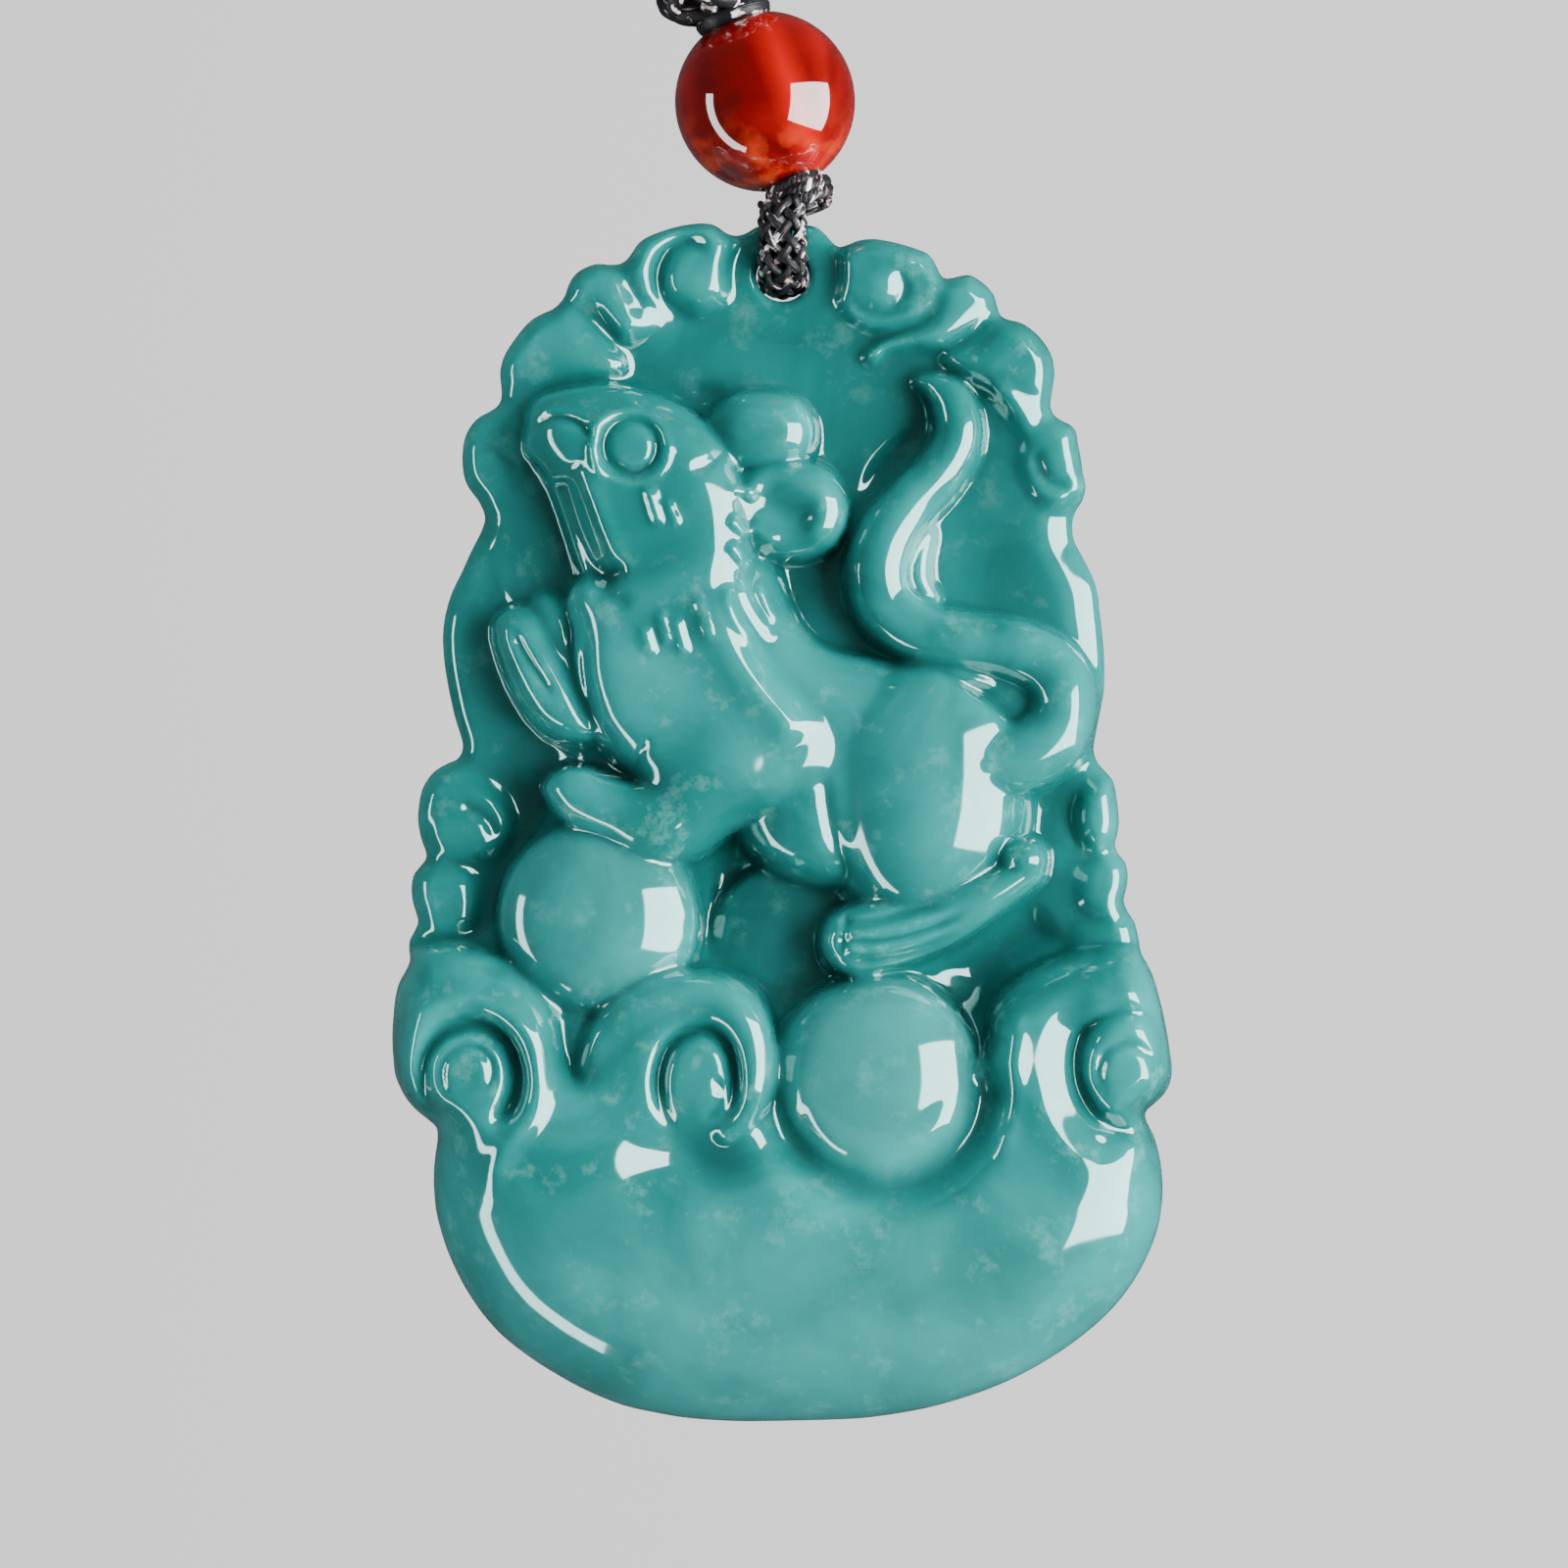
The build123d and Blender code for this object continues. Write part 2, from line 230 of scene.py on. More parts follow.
def blur(field, sigma):
    """A Gaussian blur, sigma in grid cells."""
    reach = int(3 * sigma) + 1
    kernel = np.exp(-0.5 * (np.arange(-reach, reach + 1) / sigma) ** 2)
    kernel /= kernel.sum()
    padded = np.pad(field, reach, mode="edge")
    mixed = sum(share * padded[:, i : i + field.shape[1]] for i, share in enumerate(kernel))
    return sum(share * mixed[i : i + field.shape[0]] for i, share in enumerate(kernel))


class Contour:
    """A closed contour's part of the grid, and how deep each place lies inside it."""

    def __init__(self, points):
        self.line = smooth_line(points, closed=True, spacing=3)
        self.place = window(self.line, 4)
        self.x, self.y = X[self.place], Y[self.place]
        self.within = inside_contour(self.line, self.x, self.y)
        self.depth = depth_in(self.line, self.x, self.y)


class Relief:
    """Heights that are built up form by form, from the back of the carving to its front.

    Places and widths are in pixels, and heights, rises, lifts and blends in mm.
    """

    def __init__(self, start):
        self.height = start.astype(np.float32)

    def raise_to(self, place, form, blend, cover=False):
        """Raise the ground to a form, or lay the form over it, where the form is finite."""
        there = self.height[place]
        met = form if cover else smooth_max(there, np.where(np.isfinite(form), form, -50), blend)
        self.height[place] = np.where(np.isfinite(form), met, there)

    def swell(self, points, foot, rise, width, crown=0.0, blend=0.15, tilt=(0, 0), cover=False):
        """A form with a round edge of that rise and width, and a crown over its middle.

        Its tilt is in mm per 100 pixels, across and down.
        """
        shape = Contour(points)
        share = shape.depth / shape.depth[shape.within].max()
        form = foot + rise * round_profile(shape.depth / width) + crown * share * (2 - share)
        middle = shape.line.mean(axis=0)
        form += tilt[0] * (shape.x - middle[0]) / 100 + tilt[1] * (shape.y - middle[1]) / 100
        self.raise_to(shape.place, np.where(shape.within, form, -np.inf), blend, cover)

    def dome(self, centre, radii, foot, rise, lean=0.0, blend=0.15):
        """An elliptical dome. Its lean is in degrees, clockwise in the photograph."""
        reach = max(radii) + 3
        place = window(np.array([centre, centre], float) + [[-reach, -reach], [reach, reach]], 0)
        x, y = X[place] - centre[0], Y[place] - centre[1]
        turn = math.radians(lean)
        along = (x * math.cos(turn) + y * math.sin(turn)) / radii[0]
        aside = (-x * math.sin(turn) + y * math.cos(turn)) / radii[1]
        share = np.sqrt(along**2 + aside**2)
        self.raise_to(place, np.where(share < 1, foot + rise * bulge(share), -np.inf), blend)

    def tube(self, points, blend=0.15):
        """A limb along points of (x, y, radius, crest, rise)."""
        line = smooth_line(points, spacing=2)
        place = window(line[:, :2], line[:, 2].max() + 3)
        x, y = X[place], Y[place]
        form = np.full(x.shape, -np.inf, np.float32)
        for px, py, radius, crest, rise in line:
            share = np.hypot(x - px, y - py) / radius
            form = np.maximum(form, np.where(share < 1, crest - rise + rise * bulge(share), -np.inf))
        self.raise_to(place, form, blend)

    def stroke(self, points, half_width, lift, taper=0.25):
        """A groove, or a ridge where lift is above 0, that fades over a share of its ends."""
        line = smooth_line(points, spacing=2)
        place = window(line[:, :2], 3 * half_width + 2)
        distance, which = point_distance(line, X[place], Y[place])
        share = which / (len(line) - 1)
        fade = ease(np.minimum(share, 1 - share), 0, taper) if taper > 0 else 1.0
        self.height[place] += lift * fade * np.exp(-((distance / half_width) ** 2))

    def carve(self, points, floor, width):
        """A hollow with a round edge that goes down to a floor height."""
        shape = Contour(points)
        there = self.height[shape.place]
        sunk = there + (np.minimum(floor, there) - there) * ease(shape.depth, 0, width)
        self.height[shape.place] = np.where(shape.within, sunk, there)

    def dimple(self, centre, radii, depth):
        """A soft hollow with no edge."""
        x, y = (X - centre[0]) / radii[0], (Y - centre[1]) / radii[1]
        self.height -= depth * np.exp(-(x**2) - y**2)

    def fill_pits(self, reach, deepest):
        """Raise narrow gaps to within that depth of the heights around them."""
        pit_blend = 0.6
        self.height = smooth_max(self.height, blur(self.height, reach) - deepest, pit_blend)

    def soften(self, sigma):
        self.height = blur(self.height, sigma).astype(np.float32)


outline_points = [
    (800, 224), (826, 226), (835, 229), (843, 236), (850, 244), (857, 248), (865, 246), (875, 242),
    (888, 240), (900, 241), (915, 244), (935, 250), (948, 256), (955, 266), (960, 276), (965, 280.5),
    (972, 280), (988, 277), (998, 281), (1008, 289), (1015, 298), (1018, 308), (1021, 317), (1027, 322),
    (1042, 326), (1052, 332), (1062, 341), (1070, 352), (1075, 363), (1077, 378), (1075, 395),
    (1073, 411), (1077, 421), (1085, 427), (1093, 431), (1099, 438), (1101, 450), (1104, 465),
    (1106, 480), (1109, 495), (1106, 508), (1100, 518), (1096, 528), (1095.5, 540), (1098, 552),
    (1106, 567), (1115, 585), (1121, 603), (1123, 620), (1126, 645), (1128, 670), (1128, 700),
    (1125, 720), (1121, 740), (1118, 757), (1117.5, 768), (1122, 779), (1130, 788), (1137, 797),
    (1140, 810), (1142, 825), (1143, 840), (1141, 853), (1139, 862), (1142, 871), (1149, 880),
    (1152, 892), (1151, 906), (1148, 919), (1152, 931), (1159, 942), (1163, 958), (1166, 974),
    (1172, 985), (1178, 998), (1183, 1015), (1188, 1035), (1192, 1055), (1195, 1075), (1197, 1090),
    (1195.5, 1105), (1189, 1118), (1179, 1128), (1170, 1137), (1172, 1148), (1179, 1162), (1184, 1180),
    (1187, 1200), (1187.5, 1225), (1183, 1255), (1172, 1285), (1155, 1315), (1135, 1340), (1110, 1363),
    (1080, 1385), (1040, 1408), (1000, 1425), (950, 1440), (900, 1449), (860, 1452.5), (780, 1454.5),
    (740, 1454), (700, 1451), (670, 1446), (635, 1438), (600, 1424), (570, 1408), (540, 1389),
    (512, 1367), (492, 1345), (475, 1320), (462, 1295), (452, 1270), (444, 1240), (441.5, 1215),
    (441.5, 1195), (443, 1180), (445, 1165), (444, 1153), (436, 1145), (425, 1136), (415, 1125),
    (408, 1113), (402, 1098), (400, 1080), (399, 1060), (400, 1040), (402, 1020), (406, 1004),
    (413, 991), (417, 981), (416, 970), (416.5, 961), (421, 952), (425, 942), (423, 932), (419.5, 920),
    (418.5, 905), (421, 893), (427, 885), (433, 877), (433, 869), (429.5, 860), (426.5, 848),
    (425, 834), (427, 815), (431, 802), (438, 791), (446, 784), (456, 778.5), (465, 774.5),
    (470, 767), (470.5, 757), (467, 745), (463, 732), (459, 715), (455, 695), (452, 675), (450.5, 655),
    (451, 640), (454, 622), (460, 603), (470, 582), (480, 560), (490, 540), (493.5, 526), (488, 511),
    (480, 500), (475, 492), (472, 483), (470.5, 470), (471, 455), (474, 442), (480, 431), (488, 423),
    (499, 417), (507, 411), (510.5, 402), (510, 390), (509, 378), (511, 367), (515, 357), (522, 346),
    (531, 334), (541, 323.5), (552, 317), (563, 312), (571, 305), (576, 297), (579, 288), (584, 279),
    (591, 272.5), (600, 268), (610, 265.5), (622, 266.5), (632, 265.5), (639, 261), (645, 253),
    (651, 244.5), (660, 238), (672, 233), (686, 228.5), (700, 225.5), (714, 224), (726, 225),
    (734, 229), (742, 234.5), (751, 236.5), (761, 234), (770, 228.5), (780, 225.5),
]
outline = smooth_line(outline_points, closed=True, spacing=3.0)

hole_middle = (798.5, 277.8)
hole_radius = 1.17 / mm_per_px_across
eye_radius = 57.0
wall_height = 2.3
ground_low = 2.75
ground_high = 3.5

# The ground sinks between these distances from the rim
ground_slope = (25, 120)
edge = segment_distance(outline[::2], X, Y)
edge = np.where(inside_contour(outline, X, Y), edge, -edge)
relief = Relief(ground_high - (ground_high - ground_low) * ease(edge, *ground_slope))
stroke, dome, tube, dimple = relief.stroke, relief.dome, relief.tube, relief.dimple
swell, carve = relief.swell, relief.carve


def lay(forms):
    """Build the relief up by forms in turn: each names its kind, and then that kind's sizes."""
    for form, *sizes in forms:
        form(*sizes)


# Lobes of the cloud border: contour, foot, rise, width of the round edge, crown and any tilt
border_forms = [
    # Left fan
    ([(505, 392), (500, 350), (540, 305), (575, 300), (600, 320), (622, 345), (640, 368), (630, 385),
     (590, 392), (550, 400)], 3.0, 0.75, 30, 0.15),
    # Left leaf
    ([(560, 318), (562, 285), (590, 258), (625, 258), (640, 275), (650, 300), (668, 328), (655, 340),
     (638, 348), (618, 332), (603, 315), (585, 314)], 3.1, 0.75, 22, 0.15),
    # Left curl
    ([(628, 262), (650, 232), (690, 215), (735, 218), (752, 240), (750, 272), (742, 300), (720, 316),
     (690, 320), (668, 312), (650, 300), (636, 280)], 3.2, 0.85, 22, 0.1),
    # Right curl
    ([(852, 262), (850, 240), (880, 230), (930, 236), (965, 268), (966, 300), (950, 322), (920, 334),
     (885, 334), (862, 320), (850, 295)], 3.2, 0.8, 22, 0.1),
    # Right leaf
    ([(960, 272), (985, 265), (1015, 280), (1030, 305), (1012, 322), (990, 342), (962, 356), (930, 352),
     (905, 356), (890, 368), (884, 362), (905, 347), (935, 335), (952, 318)], 3.1, 0.95, 18, 0.2,
     (-0.9, 0.0)),
    # Right fan
    ([(1015, 316), (1040, 312), (1075, 335), (1090, 380), (1082, 412), (1058, 414), (1030, 407),
     (1005, 397), (975, 380), (962, 362), (990, 347), (1008, 330)], 3.0, 1.0, 28, 0.25, (-0.6, 0.0)),
    # Slope between the right fan and the bud
    ([(1008, 390), (1042, 384), (1078, 384), (1074, 412), (1064, 448), (1048, 454), (1030, 424)], 3.1, 0.8,
     12, 0.0, (-1.6, 0.0)),
    # Right bud
    ([(1044, 440), (1060, 428), (1085, 418), (1115, 432), (1122, 480), (1112, 520), (1085, 526),
     (1058, 516), (1043, 490), (1038, 462)], 2.9, 0.95, 22, 0.15),
    # Left bud
    ([(462, 480), (462, 430), (495, 405), (525, 412), (545, 440), (550, 475), (535, 505), (505, 528),
     (485, 512)], 2.9, 0.8, 22, 0.15),
    # Left boss, upper
    ([(415, 830), (420, 790), (455, 768), (490, 785), (516, 815), (522, 850), (505, 876), (470, 882),
     (435, 878)], 2.9, 1.0, 26, 0.2),
    # Left boss, lower
    ([(408, 920), (415, 885), (445, 873), (478, 885), (492, 915), (486, 948), (455, 962), (425, 950)], 2.9,
     0.9, 24, 0.2),
    # Right boss
    ([(1096, 850), (1094, 822), (1108, 798), (1135, 790), (1155, 810), (1156, 845), (1140, 866),
     (1112, 870)], 3.1, 1.0, 20, 0.2),
    # Right lobe
    ([(1100, 930), (1096, 890), (1115, 872), (1150, 866), (1166, 890), (1160, 925), (1135, 945)], 2.9, 0.9,
     20, 0.15),
    # Right step
    ([(1090, 985), (1094, 948), (1120, 930), (1160, 925), (1180, 960), (1170, 990), (1130, 995)], 2.9, 0.8,
     20, 0.1),
]
border_blend = 0.25
for contour, foot, rise, edge_width, crown, *tilt in border_forms:
    swell(contour, foot, rise, edge_width, crown, border_blend, *tilt)

# Grooves and ridges of the border
border_lines = [
    (stroke, [(722, 262), (712, 247), (695, 246), (680, 258), (672, 280), (678, 303), (695, 314),
     (718, 315)], 8, -0.95, 0.2),
    (dome, (711, 286), (23, 22), 3.3, 0.95),
    (stroke, [(652, 300), (646, 280), (652, 258)], 4, -0.15),
    (stroke, [(664, 300), (658, 282), (664, 262)], 4, -0.12),
    (stroke, [(752, 268), (750, 285), (738, 300)], 6, 0.25),
    (stroke, [(862, 296), (872, 310), (890, 317), (908, 315), (921, 302), (922, 284), (912, 270)], 6, -0.6,
     0.25),
    (dome, (895, 287), (25, 23), 3.4, 0.85),
    (stroke, [(930, 262), (940, 285), (934, 310)], 6, -0.25),
    (stroke, [(605, 310), (620, 328), (637, 348)], 3.5, -0.35),
    (stroke, [(613, 308), (628, 326), (645, 346)], 3.5, 0.2),
    (stroke, [(645, 308), (655, 322), (667, 334)], 3.5, -0.3),
    (stroke, [(653, 306), (663, 320), (675, 332)], 3.5, 0.18),
    (stroke, [(1062, 452), (1058, 470), (1066, 488), (1084, 493), (1100, 484)], 5, -0.5, 0.25),
    (dome, (1081, 461), (20, 19), 3.2, 0.85),
    (stroke, [(1080, 500), (1096, 505), (1108, 498)], 4, -0.2),
    (stroke, [(492, 452), (505, 458), (520, 472), (528, 490)], 4.5, -0.3),
    (stroke, [(474, 808), (498, 818), (513, 838), (517, 858)], 4, 0.2),
    (stroke, [(466, 822), (488, 826), (502, 842), (505, 860)], 6, -0.35),
    (stroke, [(446, 812), (440, 838), (441, 862), (458, 876)], 5, -0.25),
    (stroke, [(436, 893), (430, 915), (436, 938)], 4, -0.15),
    (stroke, [(1104, 806), (1094, 828), (1098, 852), (1112, 868)], 5, -0.45),
    (stroke, [(1122, 872), (1142, 885), (1143, 905), (1136, 925)], 5, 0.15),
    (stroke, [(905, 357), (932, 352), (960, 358)], 4, 0.15),
]
lay(border_lines)

# Sunken ground close to the rat and in the pockets: contour, floor and width of the slope
pockets = [
    ([(700, 405), (722, 430), (745, 400), (735, 385), (705, 385)], 2.3, 22),
    ([(862, 560), (880, 470), (935, 420), (950, 450), (905, 510), (885, 570), (900, 640), (960, 668),
     (900, 668), (838, 655), (812, 610), (800, 575), (850, 570)], 2.1, 30),
    ([(560, 752), (600, 757), (640, 775), (662, 800), (640, 802), (600, 783), (570, 785)], 2.0, 16),
    ([(700, 870), (745, 845), (800, 895), (860, 905), (850, 960), (850, 1000), (800, 1030), (770, 1005),
     (730, 985), (700, 1000), (722, 940)], 2.1, 26),
    ([(950, 985), (1000, 955), (1050, 915), (1085, 960), (1040, 990), (1008, 1035), (990, 1040),
     (975, 1010)], 2.2, 26),
    ([(490, 975), (500, 900), (530, 850), (560, 800), (575, 840), (520, 890), (508, 940), (520, 985)], 2.3,
     26),
    ([(582, 1030), (600, 1035), (600, 1055), (586, 1070)], 3.2, 14),
]
for contour, floor, slope in pockets:
    carve(contour, floor, slope)
relief.soften(1.6)

# Ring around the hole
hole_ground = 3.02
ring_edge = (eye_radius - 8, eye_radius + 12)
ring_share = 1 - ease(np.hypot(X - hole_middle[0], Y - hole_middle[1]), *ring_edge)
relief.height += (hole_ground - relief.height) * ring_share

# Ruyi base
base_rolls = [
    (444, 1165), (430, 1160), (400, 1140), (385, 1060), (400, 985), (440, 966), (475, 964), (522, 977),
    (562, 1002), (583, 1038), (588, 1078), (591, 1092), (594, 1068), (612, 1042), (650, 1010), (690, 994),
    (728, 989), (764, 1002), (785, 1032), (793, 1062), (805, 1080), (860, 1085), (930, 1085), (990, 1080),
    (1003, 1062), (1011, 1028), (1040, 998), (1080, 978), (1122, 970), (1170, 972), (1205, 1010),
    (1215, 1100), (1200, 1160), (1210, 1240), (1180, 1320), (1100, 1400), (980, 1455), (860, 1472),
    (720, 1472), (600, 1450), (500, 1385), (440, 1300), (420, 1210), (430, 1170),
]
swell(base_rolls, 4.5, 2.5, 44, 0.6, cover=True)
relief.soften(0.8)

# Hollow between the base's top and the ball that it carries
base_hollow = [
    (stroke, [(787, 1075), (790, 1115), (806, 1160), (836, 1192), (880, 1210), (920, 1208), (960, 1190),
     (990, 1158), (1003, 1118), (1004, 1075)], 24, -1.5, 0.12),
    (stroke, [(1036, 1020), (1030, 1070), (1030, 1110), (1022, 1150), (1008, 1185)], 12, 0.4, 0.2),
    (dimple, (708, 1180), (70, 44), 1.6),
]
lay(base_hollow)

# Left scroll
left_scroll = [
    (stroke, [(470, 1148), (448, 1133), (437, 1105), (440, 1072), (462, 1048), (492, 1044), (518, 1062),
     (530, 1096), (523, 1128), (503, 1150)], 9, -1.0, 0.12),
    (dome, (484, 1097), (42, 47), 5.6, 1.6, 10),
    (stroke, [(470, 1128), (456, 1108), (456, 1082), (472, 1066), (494, 1068), (506, 1084), (504, 1106),
     (492, 1112)], 4.5, -0.35),
    (stroke, [(425, 1100), (424, 1060), (445, 1028), (485, 1016), (520, 1030), (546, 1058), (553, 1090),
     (548, 1130), (528, 1160), (509, 1190), (503, 1235)], 13, 0.4, 0.2),
    (stroke, [(470, 985), (520, 990), (556, 1018), (572, 1055), (573, 1095), (564, 1130)], 7, -0.35),
]
lay(left_scroll)

# Middle scroll
middle_scroll = [
    (tube, [(606, 1090, 20, 6.6, 1.3), (620, 1060, 24, 7.0, 1.5), (645, 1034, 27, 7.3, 1.7),
     (675, 1019, 28, 7.5, 1.8), (705, 1015, 27, 7.6, 1.8), (735, 1020, 27, 7.65, 1.8),
     (757, 1040, 27, 7.7, 1.8), (767, 1072, 26, 7.7, 1.8), (766, 1106, 24, 7.6, 1.7),
     (758, 1134, 20, 7.3, 1.5), (742, 1152, 14, 7.0, 1.2)], 0.5),
    (stroke, [(700, 1158), (682, 1138), (674, 1104), (681, 1072), (700, 1053), (724, 1050), (743, 1068),
     (750, 1098), (746, 1132), (726, 1158)], 7, -0.8, 0.25),
    (dome, (713, 1106), (34, 48), 5.7, 1.6),
    (stroke, [(718, 1140), (732, 1130), (737, 1112), (730, 1092)], 4.5, -0.3),
]
lay(middle_scroll)

# Right scroll
right_scroll = [
    (stroke, [(1170, 1156), (1140, 1150), (1114, 1134), (1098, 1104), (1097, 1070), (1110, 1044),
     (1140, 1031), (1172, 1038), (1192, 1060)], 8, -0.6, 0.12),
    (dome, (1147, 1092), (47, 50), 5.6, 1.6),
    (stroke, [(1130, 1118), (1118, 1098), (1124, 1072), (1146, 1062), (1168, 1074), (1176, 1096),
     (1164, 1112)], 4.5, -0.35),
    (stroke, [(1165, 1165), (1125, 1156), (1096, 1124), (1086, 1082), (1096, 1046), (1122, 1026)], 23,
     -0.75, 0.2),
]
lay(right_scroll)

# The right ball
right_ball = (894, 1099)
dome(right_ball, (107, 107), 4.9, 2.85, blend=0.0)

# The left ball, which the base's rolls stand in front of
left_ball = (612, 937)
left_ball_radius = 103
roll_crest = 6.9
roll_tops_row = 985
ball_low_edge = (590, 1075)
ball_low_slope = 0.2
ball = Relief(relief.height)
ball.dome(left_ball, (left_ball_radius, left_ball_radius), 4.8, 2.7, blend=0.0)
clear_of_rolls = (relief.height < roll_crest) | (Y < roll_tops_row)
ball_shows = (Y < ball_low_edge[1] - ball_low_slope * abs(X - ball_low_edge[0])) & clear_of_rolls
relief.height = np.where(ball_shows, ball.height, relief.height)

# Raised ground in the deep gaps
raised_ground = [
    (dome, (560, 560), (60, 92), 3.4, 0.55, -15),
    (dome, (805, 955), (80, 76), 2.9, 1.0),
    (dome, (589, 1052), (30, 52), 4.6, 1.3),
    (dome, (830, 620), (60, 60), 2.6, 0.8),
]
lay(raised_ground)

# Tail
tail = [
    (tube, [(940, 388, 8, 4.0, 1.0), (956, 394, 16, 4.5, 1.3), (972, 412, 24, 4.9, 1.6),
     (977, 446, 27, 5.2, 1.8), (960, 480, 27, 5.4, 1.9), (930, 512, 29, 5.6, 1.8), (904, 548, 32, 5.8, 1.6),
     (894, 585, 33, 5.9, 1.5), (905, 622, 33, 5.9, 1.6), (942, 648, 33, 6.0, 1.8), (990, 658, 34, 6.1, 2.0),
     (1030, 664, 35, 6.2, 2.0), (1066, 682, 36, 6.3, 2.1), (1084, 714, 37, 6.5, 2.2),
     (1076, 748, 38, 6.7, 2.2), (1046, 772, 38, 6.9, 2.2), (1005, 782, 36, 7.0, 2.2)], 0.3),
    (tube, [(946, 545, 10, 3.9, 0.6), (938, 570, 13, 4.2, 0.8), (938, 592, 13, 4.2, 0.8),
     (950, 612, 11, 4.0, 0.6)], 0.4),
]
lay(tail)

# Ears
ears = [
    (swell, [(720, 440), (730, 415), (752, 400), (785, 397), (815, 405), (831, 428), (832, 452), (818, 474),
     (780, 484), (735, 482)], 4.0, 1.6, 34, 0.5, 0.3),
    (swell, [(738, 512), (750, 485), (780, 470), (815, 468), (845, 477), (864, 503), (866, 532), (850, 560),
     (815, 573), (778, 568), (748, 548)], 4.3, 1.7, 28, 0.2, 0.3),
    (stroke, [(762, 500), (788, 516), (815, 532), (838, 540)], 22, -0.6, 0.3),
    (stroke, [(764, 538), (780, 549), (796, 556)], 5, 0.2),
]
lay(ears)

# Torso, its back sloping widely
torso = [
    (swell, [(600, 560), (598, 640), (597, 665), (601, 692), (610, 728), (622, 752), (640, 775), (657, 792),
     (663, 815), (672, 845), (690, 876), (708, 862), (732, 843), (746, 840), (762, 868), (790, 893),
     (830, 906), (866, 906), (905, 905), (960, 890), (1015, 855), (1040, 810), (1046, 775), (1042, 750),
     (1022, 735), (1000, 712), (970, 692), (940, 680), (900, 671), (845, 660), (820, 640), (805, 612),
     (795, 582), (775, 555), (745, 540), (700, 540), (650, 540)], 3.6, 2.3, 66, 0.5, 0.2),
]
lay(torso)

# Haunch and hind foot
haunch = [
    (tube, [(1047, 888, 20, 6.5, 1.6), (1005, 914, 25, 6.8, 1.8), (965, 935, 30, 6.9, 1.9),
     (925, 948, 34, 7.0, 2.0), (890, 956, 37, 7.1, 2.0), (872, 960, 37, 7.1, 2.0)], 0.2),
    (dome, (1043, 877), (27, 23), 5.0, 1.8),
    (swell, [(826, 800), (834, 735), (868, 690), (925, 664), (985, 664), (1032, 690), (1056, 745),
     (1058, 810), (1050, 865), (1026, 912), (980, 948), (930, 962), (885, 945), (850, 905), (832, 855)],
     2.2, 5.5, 107, 0.0, 0.3),
    (carve, [(935, 674), (985, 690), (1025, 699), (1044, 712), (1046, 734), (1030, 742), (1010, 728),
     (975, 702)], 4.9, 12),
    (dome, (1030, 714), (42, 36), 4.7, 0.5),
]
lay(haunch)

# Shoulder and foreleg
shoulder = [
    (swell, [(592, 590), (735, 540), (766, 590), (784, 635), (808, 676), (838, 706), (866, 732), (874, 775),
     (850, 815), (800, 838), (750, 850), (710, 880), (680, 876), (664, 830), (648, 800), (628, 778),
     (606, 752), (593, 720), (585, 690), (584, 650)], 4.4, 2.5, 46, 0.7, 0.35, (-0.36, -0.15)),
    (tube, [(740, 765, 60, 7.55, 2.2), (704, 806, 50, 7.45, 2.3), (672, 834, 42, 7.3, 2.2),
     (650, 843, 34, 7.2, 2.0)], 0.6),
    (swell, [(556, 808), (560, 794), (574, 783), (597, 781), (622, 790), (648, 797), (672, 795), (700, 815),
     (715, 845), (696, 877), (660, 878), (635, 866), (610, 855), (590, 846), (571, 833)], 5.5, 1.5, 32, 0.4,
     0.5),
]
lay(shoulder)

# Raised forepaw
forepaw = [
    (swell, [(538, 620), (556, 603), (580, 611), (594, 640), (598, 680), (606, 712), (588, 724), (562, 690),
     (546, 655)], 4.0, 1.5, 22, 0.4),
    (swell, [(503, 647), (508, 628), (527, 617), (552, 623), (570, 648), (588, 680), (604, 712), (618, 748),
     (602, 762), (570, 757), (545, 741), (524, 709), (510, 676)], 4.2, 1.8, 28, 0.5),
]
lay(forepaw)

# Head
head = [
    (swell, [(538, 436), (543, 414), (560, 400), (600, 392), (640, 393), (668, 400), (692, 411), (710, 421),
     (727, 436), (745, 457), (759, 482), (768, 512), (771, 545), (772, 585), (770, 625), (740, 650),
     (700, 650), (660, 635), (636, 612), (618, 603), (600, 606), (588, 575), (577, 542), (567, 512),
     (556, 487), (541, 464)], 4.4, 2.6, 48, 0.45, 0.5),
    (stroke, [(573, 482), (584, 515), (597, 552), (613, 585), (638, 600)], 12, -0.9, 0.12),
    (stroke, [(594, 476), (610, 515), (624, 550), (638, 574), (660, 588)], 10, 0.2, 0.15),
    (dome, (569, 456), (33, 24), 5.3, 1.1, 12, 0.25),
    (dome, (600, 700), (46, 90), 3.2, 1.5, -12),
    (stroke, [(722, 606), (736, 640), (754, 674), (774, 700), (794, 724), (818, 760)], 22, 0.52, 0.12),
]
lay(head)
relief.fill_pits(14, 1.5)
relief.soften(0.9)

# Fine lines of the nose and the muzzle
nose_lines = [
    (stroke, [(545, 447), (556, 432), (580, 430), (602, 443), (608, 464)], 4.5, -0.4),
    (stroke, [(560, 479), (582, 481), (600, 474)], 4, -0.25),
    (stroke, [(622, 420), (609, 445), (611, 480), (624, 500)], 6, 0.3),
]
lay(nose_lines)

# Groove round the eye, and the brow round that: reach and lift
eye_middle = (646, 459)
eye_turn = np.linspace(0, 2 * math.pi, 13)
for reach, lift in ((27, -0.38), (38, 0.15)):
    ring = [(eye_middle[0] + reach * math.cos(a), eye_middle[1] + reach * math.sin(a)) for a in eye_turn]
    stroke(ring, 5, lift, 0)

